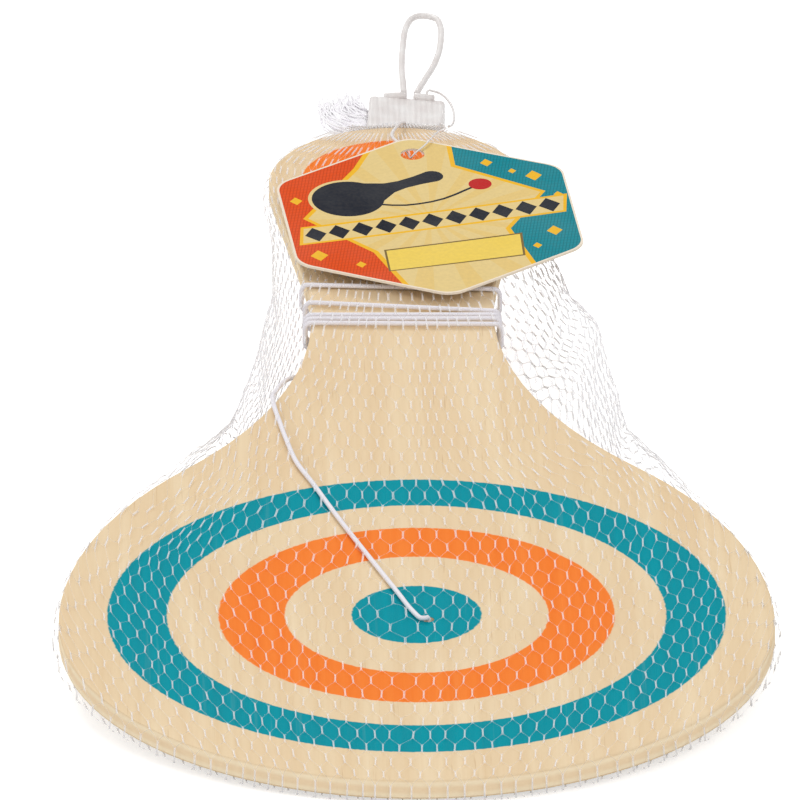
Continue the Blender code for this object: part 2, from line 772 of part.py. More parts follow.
def loop_route():
    """The hang loop from one foot to the other, about the feet's own axis."""
    wide = loop_width - loop_dia
    tall = loop_length - loop_dia
    left = 0.0012
    right = left + 0.0034
    return [(left - foot_length, 0, 0), (left - 0.3 * foot_length, 0, 0), (left - 0.0002, 0.0007, 0),
            (left, 0.16 * tall, 0), (left + 0.0001, 0.42 * tall, 0), (left + 0.0009, 0.68 * tall, 0),
            (left + 0.0022, 0.87 * tall, 0), (left + 0.0042, 0.985 * tall, 0),
            (left + 0.0062, 0.985 * tall, 0), (left + wide - 0.0003, 0.88 * tall, 0),
            (left + wide, 0.74 * tall, 0), (left + wide - 0.0008, 0.52 * tall, 0),
            (left + wide - 0.0026, 0.28 * tall, 0), (right + 0.0006, 0.10 * tall, 0),
            (right + 0.0003, 0.0007, 0), (right + 0.3 * foot_length, 0, 0),
            (right + foot_length, 0, 0)]


def make_loop(mats, lie):
    points = smooth_curve(loop_route(), 1.6 * loop_dia)
    loop = tube("hang_loop", points, loop_dia, 2, mats["clip"], lie,
                location=(0, foot_v, foot_h))
    slots = loop.data.splines[0].points
    for index in (0, -1):
        slots[index].radius = 0.6
    stray_u = clip_right - 0.0033
    net_top = front_height(handle_end - 0.0019) + net_half_thick + strand_gap
    stray = [(stray_u, clip_high + 0.0002, -clip_depth),
             (stray_u + 0.0004, clip_high + 0.0018, 0.0004 - clip_depth),
             (stray_u + 0.0020, clip_high + 0.0030, -0.0018), (0.0105, clip_high + 0.0010, -0.0010),
             (0.0119, clip_high - 0.0045, -0.0004), (0.0120, clip_high - 0.0095, 0.0004),
             (0.0114, handle_end + 0.0014, 0.0020), (0.0103, handle_end - 0.0019, net_top + stray_dia)]
    tube("loose_strand", smooth_curve(stray, 3 * stray_dia), stray_dia, 1, mats["net"], lie)


def stand_on_origin(frame):
    """Moves everything so that the origin lies under the middle of the part's box."""
    bpy.context.view_layer.update()
    graph = bpy.context.evaluated_depsgraph_get()
    low = Vector((1, 1, 1))
    high = -low
    for obj in bpy.context.scene.objects:
        if obj.type not in {"MESH", "CURVE"} or obj.hide_render:
            continue
        shape = obj.evaluated_get(graph)
        mesh = shape.to_mesh()
        for vert in mesh.vertices:
            spot = shape.matrix_world @ vert.co
            low = Vector(map(min, low, spot))
            high = Vector(map(max, high, spot))
        shape.to_mesh_clear()
    frame.location -= Vector(((low.x + high.x) / 2, (low.y + high.y) / 2, low.z))
    bpy.context.view_layer.update()


def main():
    fresh_scene()
    mats = {"wood": material("plywood", (0.80, 0.63, 0.44), 0.55),
            "string": material("white_elastic", (0.86, 0.85, 0.82), 0.75),
            "rubber": material("red_rubber", (0.70, 0.06, 0.05), 0.5),
            "card": material("printed_card", (0.76, 0.58, 0.25), 0.6),
            "net": material("white_net", (0.90, 0.90, 0.89), 0.45),
            "clip": material("milky_plastic", (0.84, 0.81, 0.79), 0.35)}
    frame = new_object("standing_frame", None, None, None)
    lie = new_object("paddle_frame", None, None, frame, location=(0, 0, lean_height),
                     rotation=(lean, 0, 0))
    make_paddle(mats, lie)
    make_string(mats, lie)
    make_ball(mats, lie)
    make_tag(mats, lie)
    net_sheet("bag_front_net", front_spot, mats["net"], frame)
    net_sheet("bag_back_net", back_spot, mats["net"], frame)
    make_clip(mats, lie)
    make_loop(mats, lie)
    stand_on_origin(frame)
    hinge = lie.matrix_world @ Vector((0, foot_v, foot_h))
    pivot = lie.matrix_world @ Vector((*tag_hole, tag_under(tag_hole.y)))
    centre = lie.matrix_world @ Vector((0, ball_at, -ball_drop))
    print("lean %.4f deg" % math.degrees(lean))
    for what, spot in (("loop hinge", hinge), ("tag pivot", pivot), ("ball centre", centre)):
        print(what, [round(x, 5) for x in spot])


main()
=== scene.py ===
"""Looks of the paddle ball in its net bag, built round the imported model.

Everything along the paddle is placed in the paddle's own frame, as the model is: u to the right,
v up the handle from the target's centre, h out of the printed face. Lengths are in metres.
"""
import json
import math
import random

import bmesh
import bpy
import numpy as np
from mathutils import Matrix, Vector, noise
from mathutils.geometry import delaunay_2d_cdt


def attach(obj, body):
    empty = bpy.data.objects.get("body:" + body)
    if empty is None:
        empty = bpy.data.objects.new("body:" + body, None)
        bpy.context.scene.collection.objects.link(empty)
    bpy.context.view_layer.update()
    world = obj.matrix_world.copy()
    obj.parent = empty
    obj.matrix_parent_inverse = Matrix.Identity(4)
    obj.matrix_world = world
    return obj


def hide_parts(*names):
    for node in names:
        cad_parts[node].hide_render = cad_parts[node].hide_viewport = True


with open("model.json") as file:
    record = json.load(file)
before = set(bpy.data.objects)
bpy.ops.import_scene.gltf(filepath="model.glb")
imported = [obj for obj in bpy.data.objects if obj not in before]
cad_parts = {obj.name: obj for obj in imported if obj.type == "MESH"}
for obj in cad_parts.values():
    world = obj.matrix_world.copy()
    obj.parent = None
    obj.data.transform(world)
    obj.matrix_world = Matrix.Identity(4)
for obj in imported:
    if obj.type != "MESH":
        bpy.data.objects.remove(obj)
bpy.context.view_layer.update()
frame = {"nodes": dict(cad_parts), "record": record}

# Sizes of the model that the pieces here follow
board_thick = 0.0040
head_radius = 0.0660
head_at = -0.0026
shoulder_radius = 0.1000
neck_half = 0.0171
neck_at = 0.1294
bulb_radius = 0.0242
bulb_at = 0.1872
handle_end = bulb_at + bulb_radius
strand_gap = 0.0003
string_dia = 0.0009
ball_dia = 0.0250
ball_at = 0.1780
ball_drop = board_thick + strand_gap + ball_dia / 2
tag_radius = 0.0317
tag_corner_round = 0.0050
tag_thick = 0.00045
tag_turn = math.radians(6.45)
tag_lean = math.radians(3.0)
tag_centre = Vector((0.0059, 0.1620))
tag_off_face = 0.0025       # underside of its low end over the printed face
tag_hole_radius = 0.0023
tag_hole_inset = 0.0070
clip_width = 0.0146
clip_length = 0.0128
clip_thick = 0.0050
clip_shift = 0.0024
clip_low = handle_end + 0.0018
clip_depth = 0.0030

# Printed face
teal_ring = (0.0460, 0.0570)
orange_ring = (0.0243, 0.0365)
teal_dot = 0.0120
bulb_disc = 0.0180

# Camera: the photograph's long lens, its angles to the paddle and the target's place in the picture
photo_width = 800
camera_lens = 1300.0
camera_sensor = 36.0
camera_elevation = math.radians(25.7)
camera_azimuth = math.radians(-1.17)
pixels_per_metre = 5345.0
target_pixel = (416.6, 614.5)

# Light in watts, and how white the surroundings are
key_power = 10.6
front_power = 12.0
left_power = 5.5
sky_strength = 0.60
floor_grey = 0.80
floor_lift = 0.60

# Net bag
net_columns = 92
net_rows = 52
net_node_radius = 0.000125
net_thread_radius = 0.000045
node_opacity = 0.34
thread_opacity = 0.13
tail_opacity = 1.0
free_opacity = 0.50         # of the slack beside the board
shade_opacity = 0.15        # most of the lamps' light that a surface of the net keeps back
net_tint = (246, 245, 247)
# The tail's plastic is tinted a little lighter than the net's: painted light that offsets the shade inside
# the bundle.
lit_tail_tint = (249, 246, 250)
net_node_share = 0.24       # half a node's length, as a share of the row
net_on_face = 0.00042
net_slope = 0.55            # how steeply it comes down beside what lifts it
net_rim_clear = 0.0011
seed = 11


def srgb(red, green, blue):
    """Linear colour of a colour given from 0 to 255 as a picture holds it."""
    shades = []
    for value in (red, green, blue):
        value /= 255
        shades.append(value / 12.92 if value <= 0.04045 else ((value + 0.055) / 1.055) ** 2.4)
    return (*shades, 1.0)


# The paddle's frame, from the ball's joint

ball_joint = next(j for j in frame["record"]["behaviour"]["joints"] if j["name"] == "ball_turn")
lean = math.atan2(ball_joint["axis"][2], ball_joint["axis"][1])
turn_to_world = Matrix.Rotation(lean, 4, "X")
paddle_origin = Vector(ball_joint["pos_m"]) - turn_to_world @ Vector((0, ball_at, -ball_drop))
to_world = Matrix.Translation(paddle_origin) @ turn_to_world


def on_paddle(u, v, h):
    return to_world @ Vector((u, v, h))


# Helpers

def between(start, end, share):
    return start + (end - start) * share


def put_in_scene(name, data):
    thing = bpy.data.objects.new(name, data)
    bpy.context.scene.collection.objects.link(thing)
    return thing


def mesh_from(bm, name):
    """Turns what was built into a mesh and lets go of the rest."""
    mesh = bpy.data.meshes.new(name)
    bm.to_mesh(mesh)
    bm.free()
    return mesh


def feed(tree, socket, value):
    """Links a node's output to a socket, or sets the socket to a value."""
    if isinstance(value, bpy.types.NodeSocket):
        tree.links.new(value, socket)
    else:
        socket.default_value = value


def add_node(tree, kind, inputs, **settings):
    node = tree.nodes.new("ShaderNode" + kind)
    for name, value in settings.items():
        setattr(node, name, value)
    for name, value in inputs.items():
        feed(tree, node.inputs[name], value)
    return node


# Camera, light and floor

def make_camera():
    """The camera, turned with the paddle's frame so that the face shows as in the photograph."""
    focal = camera_lens / camera_sensor * photo_width
    distance = focal / pixels_per_metre
    across = math.cos(camera_elevation)
    back = Vector((math.sin(camera_azimuth) * across, -math.cos(camera_azimuth) * across,
                   math.sin(camera_elevation)))
    right = Vector((math.cos(camera_azimuth), math.sin(camera_azimuth), 0))
    up = back.cross(right)
    place = back * distance
    ray = (-back + right * (target_pixel[0] - photo_width / 2) / focal
           - up * (target_pixel[1] - photo_width / 2) / focal)
    seen = place - ray * place.z / ray.z
    data = bpy.data.cameras.new("camera")
    data.lens = camera_lens
    data.sensor_width = camera_sensor
    data.clip_start = 0.5
    data.clip_end = 60.0
    camera = put_in_scene("camera", data)
    axes = Matrix((right, up, back)).transposed().to_4x4()
    camera.matrix_world = to_world @ Matrix.Translation(place - seen) @ axes
    bpy.context.scene.camera = camera


def area_light(name, place, aim, size, power):
    data = bpy.data.lights.new(name, "AREA")
    data.shape = "DISK"
    data.size = size
    data.energy = power
    light = put_in_scene(name, data)
    light.location = place
    light.rotation_euler = (Vector(aim) - Vector(place)).to_track_quat("-Z", "Y").to_euler()


def see_white(tree, shaded, white):
    """Mixes a shader with plain white for rays from the camera, mirrors and glass."""
    ray = add_node(tree, "LightPath", {}).outputs
    seen = add_node(tree, "Math", {0: ray["Is Camera Ray"], 1: ray["Is Glossy Ray"]}, operation="MAXIMUM")
    seen = add_node(tree, "Math", {0: seen.outputs[0], 1: ray["Is Transmission Ray"]}, operation="MAXIMUM")
    return add_node(tree, "MixShader", {0: seen.outputs[0], 1: shaded, 2: white}).outputs[0]


def make_world():
    world = bpy.data.worlds.new("studio")
    world.use_nodes = True
    tree = world.node_tree
    tree.nodes.clear()
    light = add_node(tree, "Background", {"Color": (1.0, 1.0, 1.0, 1.0), "Strength": sky_strength})
    white = add_node(tree, "Background", {"Color": (1.0, 1.0, 1.0, 1.0), "Strength": 1.0})
    add_node(tree, "OutputWorld", {"Surface": see_white(tree, light.outputs[0], white.outputs[0])})
    bpy.context.scene.world = world


def make_floor():
    """A plain floor, lifted to white for the camera but for the shadow that falls on it."""
    bm = bmesh.new()
    bmesh.ops.create_grid(bm, x_segments=1, y_segments=1, size=2.5)
    floor = put_in_scene("floor", mesh_from(bm, "floor"))
    mat = bpy.data.materials.new("floor_white")
    mat.use_nodes = True
    tree = mat.node_tree
    shader = tree.nodes["Principled BSDF"]
    shader.inputs["Base Color"].default_value = (floor_grey, floor_grey, floor_grey, 1.0)
    shader.inputs["Roughness"].default_value = 0.9
    shader.inputs["Specular IOR Level"].default_value = 0.0
    lift = add_node(tree, "Emission", {"Strength": floor_lift})
    both = add_node(tree, "AddShader", {0: shader.outputs[0], 1: lift.outputs[0]})
    surface = see_white(tree, shader.outputs[0], both.outputs[0])
    tree.links.new(surface, tree.nodes["Material Output"].inputs["Surface"])
    floor.data.materials.append(mat)


def make_light():
    centre = on_paddle(0, 0.09, 0)
    area_light("key", (-0.55, 1.15, 1.55), centre, 0.75, key_power)
    area_light("front_fill", (0.75, -1.5, 1.35), centre, 1.1, front_power)
    area_light("left_fill", (-1.5, -0.5, 0.9), centre, 0.9, left_power)


# Materials

class Nodes:
    """A material's nodes, added and joined in short lines."""

    def __init__(self, name, colour, roughness):
        self.mat = bpy.data.materials.new(name)
        self.mat.use_nodes = True
        self.mat.diffuse_color = colour
        self.tree = self.mat.node_tree
        self.shader = self.tree.nodes["Principled BSDF"]
        self.shader.inputs["Base Color"].default_value = colour
        self.shader.inputs["Roughness"].default_value = roughness

    def add(self, kind, inputs, **settings):
        return add_node(self.tree, kind, inputs, **settings).outputs

    def into(self, name, value):
        feed(self.tree, self.shader.inputs[name], value)

    def math(self, operation, a, b=0.0, clamp=False):
        return self.add("Math", {0: a, 1: b}, operation=operation, use_clamp=clamp)[0]

    def plus(self, a, b, clamp=False):
        return self.math("ADD", a, b, clamp)

    def minus(self, a, b):
        return self.math("SUBTRACT", a, b)

    def times(self, a, b):
        return self.math("MULTIPLY", a, b)

    def attribute(self, name):
        return self.add("Attribute", {}, attribute_name=name)["Fac"]

    def place(self, spot=(0, 0, 0), turn=(0, 0, 0), scale=(1, 1, 1), base=None):
        """Coordinates in metres, moved, turned and scaled."""
        if base is None:
            base = self.add("TexCoord", {})["Object"]
        return self.add("Mapping", {"Vector": base, "Location": spot, "Rotation": turn, "Scale": scale})[0]

    def noise(self, where, scale, detail=3.0, roughness=0.5):
        return self.add("TexNoise", {"Vector": where, "Scale": scale, "Detail": detail,
                                     "Roughness": roughness})["Fac"]

    def split(self, where):
        return self.add("SeparateXYZ", {0: where})

    def ramp(self, value, low, high, start=0.0, end=1.0):
        """Maps low..high to start..end."""
        return self.add("MapRange", {"Value": value, "From Min": low, "From Max": high,
                                     "To Min": start, "To Max": end})[0]

    def mix(self, share, a, b, mode="MIX"):
        return self.add("Mix", {0: share, 6: a, 7: b}, data_type="RGBA", blend_type=mode)[2]

    def bump(self, height, strength, distance):
        self.into("Normal", self.add("Bump", {"Strength": strength, "Distance": distance,
                                              "Height": height})[0])


def paddle_coordinates(nodes):
    """The paddle's own frame, worked out from the world's."""
    spot = -(turn_to_world.inverted() @ paddle_origin)
    return nodes.place(spot=spot, turn=(-lean, 0, 0))


def inside(nodes, distance, radius, blur=0.00012):
    """1 inside a radius, 0 outside it."""
    return nodes.ramp(distance, radius + blur, radius - blur)


def plywood():
    """Sanded plywood with its printed target; grain runs along the handle, plies show on the edge."""
    nodes = Nodes("printed_plywood", srgb(233, 210, 178), 0.55)
    where = paddle_coordinates(nodes)
    u, v, h = nodes.split(where)
    wander = nodes.noise(nodes.place(scale=(30, 5, 30), base=where), 1.0, 2.0)
    drawn = nodes.place(scale=(420, 9, 60), base=where)
    fibres = nodes.noise(drawn, 1.0, 6.0, 0.65)
    pores = nodes.noise(nodes.place(scale=(2300, 70, 300), base=where), 1.0, 2.0)
    figure = nodes.math("SINE", nodes.plus(nodes.times(u, 360.0), nodes.times(wander, 26.0)))
    figure = nodes.ramp(figure, -1.0, 1.0)
    colour = nodes.mix(nodes.ramp(fibres, 0.3, 0.7), srgb(226, 201, 163), srgb(237, 217, 184))
    colour = nodes.mix(nodes.times(figure, 0.32), colour, srgb(222, 192, 152))
    pore_mask = nodes.ramp(pores, 0.66, 0.74)
    colour = nodes.mix(nodes.times(pore_mask, 0.45), colour, srgb(190, 152, 108))
    cloud = nodes.noise(where, 38.0, 2.0)
    colour = nodes.mix(nodes.ramp(cloud, 0.35, 0.7, 0.0, 0.30), colour, srgb(224, 196, 158))

    # printed rings and the disc on the bulb
    rim_wobble = nodes.times(nodes.minus(nodes.noise(where, 900.0, 2.0), 0.5), 0.0005)
    squares = nodes.plus(nodes.times(u, u), nodes.times(v, v))
    radius = nodes.plus(nodes.math("SQRT", squares), rim_wobble)
    v_bulb = nodes.minus(v, bulb_at)
    squares = nodes.plus(nodes.times(u, u), nodes.times(v_bulb, v_bulb))
    bulb_distance = nodes.plus(nodes.math("SQRT", squares), rim_wobble)
    teal = nodes.minus(inside(nodes, radius, teal_ring[1]), inside(nodes, radius, teal_ring[0]))
    teal = nodes.plus(teal, inside(nodes, radius, teal_dot))
    orange = nodes.minus(inside(nodes, radius, orange_ring[1]), inside(nodes, radius, orange_ring[0]))
    orange = nodes.plus(orange, inside(nodes, bulb_distance, bulb_disc))
    on_face = nodes.ramp(h, -0.00012, -0.00004)
    worn = nodes.ramp(nodes.noise(drawn, 1.7, 4.0), 0.25, 0.4, 0.96, 1.0)
    teal = nodes.times(nodes.times(teal, on_face), worn)
    orange = nodes.times(nodes.times(orange, on_face), worn)
    ink_tone = nodes.ramp(fibres, 0.3, 0.7)
    teal_ink = nodes.mix(ink_tone, srgb(0, 138, 152), srgb(2, 149, 163))
    orange_ink = nodes.mix(ink_tone, srgb(240, 122, 42), srgb(245, 135, 58))

    # plies on the edge, darker where the knife cut across the grain
    ply = nodes.math("PINGPONG", nodes.plus(h, board_thick / 6), board_thick / 3)
    across_ply = nodes.ramp(ply, board_thick / 6 - 0.0003, board_thick / 6 + 0.0003)
    edge_grain = nodes.noise(nodes.place(scale=(900, 900, 2600), base=where), 1.0, 4.0, 0.6)
    edge = nodes.mix(across_ply, srgb(248, 230, 198), srgb(241, 217, 181))
    edge = nodes.mix(nodes.ramp(edge_grain, 0.35, 0.75, 0.0, 0.22), edge, srgb(220, 187, 144))
    on_edge = nodes.times(nodes.ramp(h, -0.0003, -0.0006),
                          nodes.ramp(h, -board_thick + 0.0003, -board_thick + 0.0006))
    colour = nodes.mix(on_edge, colour, edge)
    colour = nodes.mix(teal, colour, teal_ink)
    colour = nodes.mix(orange, colour, orange_ink)
    nodes.into("Base Color", colour)

    inked = nodes.plus(teal, orange, clamp=True)
    rough = nodes.ramp(fibres, 0.2, 0.8, 0.62, 0.80)
    rough = nodes.minus(rough, nodes.times(inked, 0.14))
    nodes.into("Roughness", rough)
    nodes.into("Specular IOR Level", 0.03)
    height = nodes.plus(nodes.times(fibres, 0.6), nodes.times(pore_mask, -0.5))
    height = nodes.plus(height, nodes.times(inked, 0.35))
    nodes.bump(height, 0.35, 0.00010)
    return nodes.mat


def elastic():
    """Smooth white cover of the elastic string, finely braided, read along and round the strand."""
    nodes = Nodes("braided_elastic", srgb(244, 241, 243), 0.7)
    where = nodes.add("UVMap", {})[0]
    along, around, _ = nodes.split(where)
    around = nodes.times(around, math.tau * 6)
    run = nodes.times(along, math.tau / 0.0007)
    one = nodes.math("SINE", nodes.plus(run, around))
    two = nodes.math("SINE", nodes.minus(run, around))
    braid = nodes.math("MAXIMUM", one, two)
    fuzz = nodes.noise(nodes.place(), 2600.0, 3.0)
    # The braid's low grooves are painted darker than its raised strands: painted shade in the grooves.
    colour = nodes.mix(nodes.ramp(braid, -0.4, 0.9), srgb(229, 225, 231), srgb(237, 234, 239))
    colour = nodes.mix(nodes.ramp(fuzz, 0.4, 0.75, 0.0, 0.25), colour, srgb(222, 217, 225))
    nodes.into("Base Color", colour)
    nodes.into("Roughness", nodes.ramp(fuzz, 0.3, 0.7, 0.62, 0.85))
    nodes.into("Specular IOR Level", 0.2)
    nodes.bump(nodes.plus(braid, nodes.times(fuzz, 0.7)), 0.12, 0.00003)
    return nodes.mat


def net_plastic(name, opacity, tint):
    """Drawn plastic thread: milky where it is knitted or drawn together, nearly clear where it is thin."""
    nodes = Nodes(name, srgb(*tint), 0.5)
    where = nodes.place()
    streaks = nodes.noise(where, 900.0, 3.0)
    patches = nodes.noise(where, 60.0, 2.0)
    lighter = [min(shade + 7, 253) for shade in tint]
    colour = nodes.mix(nodes.ramp(streaks, 0.35, 0.7), srgb(*tint), srgb(*lighter))
    colour = nodes.mix(nodes.ramp(patches, 0.4, 0.7, 0.0, 0.3), colour, srgb(242, 239, 244))
    nodes.into("Base Color", colour)
    nodes.into("Roughness", nodes.ramp(streaks, 0.3, 0.7, 0.40, 0.60))
    nodes.into("Specular IOR Level", 0.3)
    thin = net_thread_radius / net_node_radius
    solid = nodes.ramp(nodes.attribute("thickness"), thin, 1.0, thread_opacity, opacity)
    slack_solid = nodes.times(nodes.attribute("beside_board"), free_opacity)
    v = nodes.split(paddle_coordinates(nodes))[1]
    drawn_in = nodes.ramp(v, handle_end - 0.0020, clip_low - 0.0002)
    solid = nodes.math("MAXIMUM", nodes.math("MAXIMUM", solid, slack_solid), drawn_in)
    kept_back = nodes.times(nodes.add("LightPath", {})["Is Shadow Ray"], 1.0 - shade_opacity)
    nodes.into("Alpha", nodes.math("MINIMUM", solid, nodes.minus(1.0, kept_back)))
    nodes.bump(streaks, 0.2, 0.00003)
    return nodes.mat


def milky_plastic():
    """Moulded milky plastic of the clip and the hang loop."""
    nodes = Nodes("milky_plastic", srgb(232, 226, 222), 0.38)
    where = paddle_coordinates(nodes)
    clouds = nodes.noise(where, 240.0, 3.0)
    folds = nodes.noise(nodes.place(scale=(1500, 120, 400), base=where), 1.0, 3.0)
    colour = nodes.mix(nodes.ramp(clouds, 0.35, 0.7), srgb(228, 221, 218), srgb(243, 240, 238))
    colour = nodes.mix(nodes.ramp(folds, 0.45, 0.7, 0.0, 0.4), colour, srgb(219, 212, 210))
    nodes.into("Base Color", colour)
    nodes.into("Roughness", nodes.ramp(folds, 0.3, 0.7, 0.28, 0.48))
    nodes.into("Transmission Weight", 0.12)
    nodes.bump(nodes.plus(clouds, folds), 0.25, 0.00012)
    return nodes.mat


def red_rubber():
    """Moulded solid rubber ball with a parting line, bloom and a fine grain in its bump."""
    nodes = Nodes("red_rubber", srgb(196, 40, 34), 0.55)
    where = paddle_coordinates(nodes)
    v = nodes.split(where)[1]
    seam = nodes.math("ABSOLUTE", nodes.minus(v, ball_at))
    seam = nodes.ramp(seam, 0.0004, 0.00015)
    bloom = nodes.noise(where, 170.0, 4.0)
    grain = nodes.noise(where, 1900.0, 3.0)
    colour = nodes.mix(nodes.ramp(bloom, 0.4, 0.75, 0.0, 0.5), srgb(190, 34, 30), srgb(205, 66, 56))
    colour = nodes.mix(nodes.times(seam, 0.5), colour, srgb(150, 26, 24))
    nodes.into("Base Color", colour)
    nodes.into("Roughness", nodes.ramp(bloom, 0.3, 0.7, 0.45, 0.68))
    height = nodes.plus(nodes.times(grain, 0.4), seam)
    nodes.bump(height, 0.4, 0.00015)
    return nodes.mat


def printed_card(name, colour, dots=0.0):
    """Coated card with ink; dots is how dark its fine screen of squares is."""
    nodes = Nodes(name, colour, 0.42)
    where = paddle_coordinates(nodes)
    fibre = nodes.noise(where, 1400.0, 3.0)
    cloud = nodes.noise(where, 90.0, 2.0)
    tone = nodes.mix(nodes.ramp(cloud, 0.3, 0.7, 0.0, 0.03), colour, (0.9, 0.9, 0.86, 1.0))
    tone = nodes.mix(nodes.ramp(fibre, 0.3, 0.7, 0.0, 0.10), tone, (0.2, 0.18, 0.15, 1.0))
    if dots > 0:
        u, v, _ = nodes.split(nodes.place(turn=(0, 0, tag_turn), base=where))
        pitch = math.tau / 0.00062
        lines = nodes.math("MAXIMUM", nodes.math("SINE", nodes.times(u, pitch)),
                           nodes.math("SINE", nodes.times(v, pitch)))
        darker = nodes.mix(1.0, tone, (0.62, 0.58, 0.55, 1.0), "MULTIPLY")
        tone = nodes.mix(nodes.ramp(lines, 0.55, 0.95, 0.0, dots), tone, darker)
    nodes.into("Base Color", tone)
    nodes.into("Roughness", nodes.ramp(fibre, 0.3, 0.7, 0.50, 0.64))
    nodes.into("Specular IOR Level", 0.03)
    nodes.bump(fibre, 0.18, 0.00006)
    return nodes.mat


# Strands

def frames_along(points):
    """Tangent, side and normal of each point, turned as little as possible along the line."""
    tangents = np.gradient(points, axis=0)
    tangents /= np.linalg.norm(tangents, axis=1)[:, None]
    side = np.cross(tangents[0], (0.0, 0.0, 1.0))
    if np.linalg.norm(side) < 0.2:
        side = np.cross(tangents[0], (1.0, 0.0, 0.0))
    sides = []
    for tangent in tangents:
        side = side - tangent * np.dot(side, tangent)
        side = side / np.linalg.norm(side)
        sides.append(side)
    sides = np.array(sides)
    return tangents, sides, np.cross(tangents, sides)


def strand_mesh(name, lines, radii, sides, mat, body, turned=None, smooth=True):
    """One piece made of round strands. A radius may change along its line."""
    spots = []
    faces = []
    uvs = []
    solid = []
    for number, (line, radius) in enumerate(zip(lines, radii)):
        line = np.asarray(line, float)
        count = len(line)
        if turned is None:
            _, across, normal = frames_along(line)
        else:
            across, normal = turned[number]
        angles = np.arange(sides) * math.tau / sides + math.pi / sides
        radius = np.broadcast_to(np.asarray(radius, float), (count,))
        rings = (line[:, None, :]
                 + radius[:, None, None] * (np.cos(angles)[None, :, None] * across[:, None, :]
                                            + np.sin(angles)[None, :, None] * normal[:, None, :]))
        first = sum(len(block) for block in spots)
        spots.append(rings.reshape(-1, 3))
        solid.append(np.repeat(radius / radius.max(), sides))
        steps = np.concatenate(([0.0], np.cumsum(np.linalg.norm(np.diff(line, axis=0), axis=1))))
        ring = np.arange(sides)
        start = first + np.arange(count - 1)[:, None] * sides
        quad = np.stack((start + ring, start + (ring + 1) % sides,
                         start + sides + (ring + 1) % sides, start + sides + ring), axis=-1)
        faces.append(quad.reshape(-1, 4))
        low = np.broadcast_to(steps[:-1, None], (count - 1, sides))
        high = np.broadcast_to(steps[1:, None], (count - 1, sides))
        left = np.broadcast_to(ring / sides, (count - 1, sides))
        right = np.broadcast_to((ring + 1) / sides, (count - 1, sides))
        corner = np.stack((np.stack((low, left), -1), np.stack((low, right), -1),
                           np.stack((high, right), -1), np.stack((high, left), -1)), axis=2)
        uvs.append(corner.reshape(-1, 2))
    spots = np.concatenate(spots)
    faces = np.concatenate(faces)
    mesh = bpy.data.meshes.new(name)
    mesh.vertices.add(len(spots))
    mesh.vertices.foreach_set("co", spots.ravel())
    mesh.loops.add(faces.size)
    mesh.loops.foreach_set("vertex_index", faces.ravel().astype(np.int32))
    mesh.polygons.add(len(faces))
    mesh.polygons.foreach_set("loop_start", np.arange(len(faces), dtype=np.int32) * 4)
    mesh.update(calc_edges=True)
    layer = mesh.uv_layers.new(name="UVMap")
    layer.data.foreach_set("uv", np.concatenate(uvs).ravel())
    share = mesh.attributes.new("thickness", "FLOAT", "POINT")
    share.data.foreach_set("value", np.concatenate(solid).astype(np.float32))
    close_ends(mesh)
    if smooth:
        mesh.shade_smooth()
    return new_piece(name, mesh, mat, body)


def close_ends(mesh):
    """Caps the open ends of all strands."""
    bm = bmesh.new()
    bm.from_mesh(mesh)
    open_edges = [edge for edge in bm.edges if len(edge.link_faces) == 1]
    bmesh.ops.holes_fill(bm, edges=open_edges, sides=0)
    bmesh.ops.recalc_face_normals(bm, faces=bm.faces)
    bm.to_mesh(mesh)
    bm.free()


def new_piece(name, mesh, mats, body):
    piece = put_in_scene(name, mesh)
    for mat in mats if isinstance(mats, list) else [mats]:
        mesh.materials.append(mat)
    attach(piece, body)
    return piece


def smooth_line(route, spacing):
    """Points of a smooth curve through the route, about `spacing` apart."""
    route = np.asarray(route, float)
    route = np.vstack((2 * route[0] - route[1], route, 2 * route[-1] - route[-2]))
    t = np.linspace(0, 1, 20, endpoint=False)[:, None]
    dense = []
    for a, b, c, d in zip(route, route[1:], route[2:], route[3:]):
        dense.append(0.5 * (2 * b + (c - a) * t + (2 * a - 5 * b + 4 * c - d) * t * t
                            + (3 * b - a - 3 * c + d) * t ** 3))
    dense = np.vstack(dense + [route[-2]])
    walked = np.concatenate(([0.0], np.cumsum(np.linalg.norm(np.diff(dense, axis=0), axis=1))))
    count = max(3, round(walked[-1] / spacing))
    at = np.linspace(0, walked[-1], count + 1)
    return np.stack([np.interp(at, walked, dense[:, axis]) for axis in range(3)], axis=1)


def world_line(line):
    """A line of the paddle's frame in world metres."""
    turn = np.array(to_world.to_3x3())
    return np.asarray(line, float) @ turn.T + np.array(paddle_origin)


def line_through(spots, spacing=0.0005):
    """A smooth line in the world through spots of the paddle's frame in millimetres."""
    return world_line(smooth_line(np.array(spots) * 0.001, spacing))


# Outline of the board, as in the model

shoulder_centre = Vector((head_radius - shoulder_radius, head_at))
neck_side = Vector((neck_half, neck_at)) - shoulder_centre
waist_radius = ((neck_side.length_squared - shoulder_radius ** 2)
                / (2 * (shoulder_radius - neck_side.x)))
waist_centre = Vector((neck_half + waist_radius, neck_at))
shoulder_end = shoulder_centre + (waist_centre - shoulder_centre).normalized() * shoulder_radius
bulb_centre = Vector((0.0, bulb_at))


def taper_points():
    """Where the straight side of the grip leaves the waist and meets the bulb."""
    span = bulb_centre - waist_centre
    tilt = math.acos((waist_radius + bulb_radius) / span.length)
    along = math.atan2(span.y, span.x)
    normal = Vector((math.cos(along + tilt), math.sin(along + tilt)))
    return waist_centre + waist_radius * normal, bulb_centre - bulb_radius * normal


waist_end, bulb_start = taper_points()


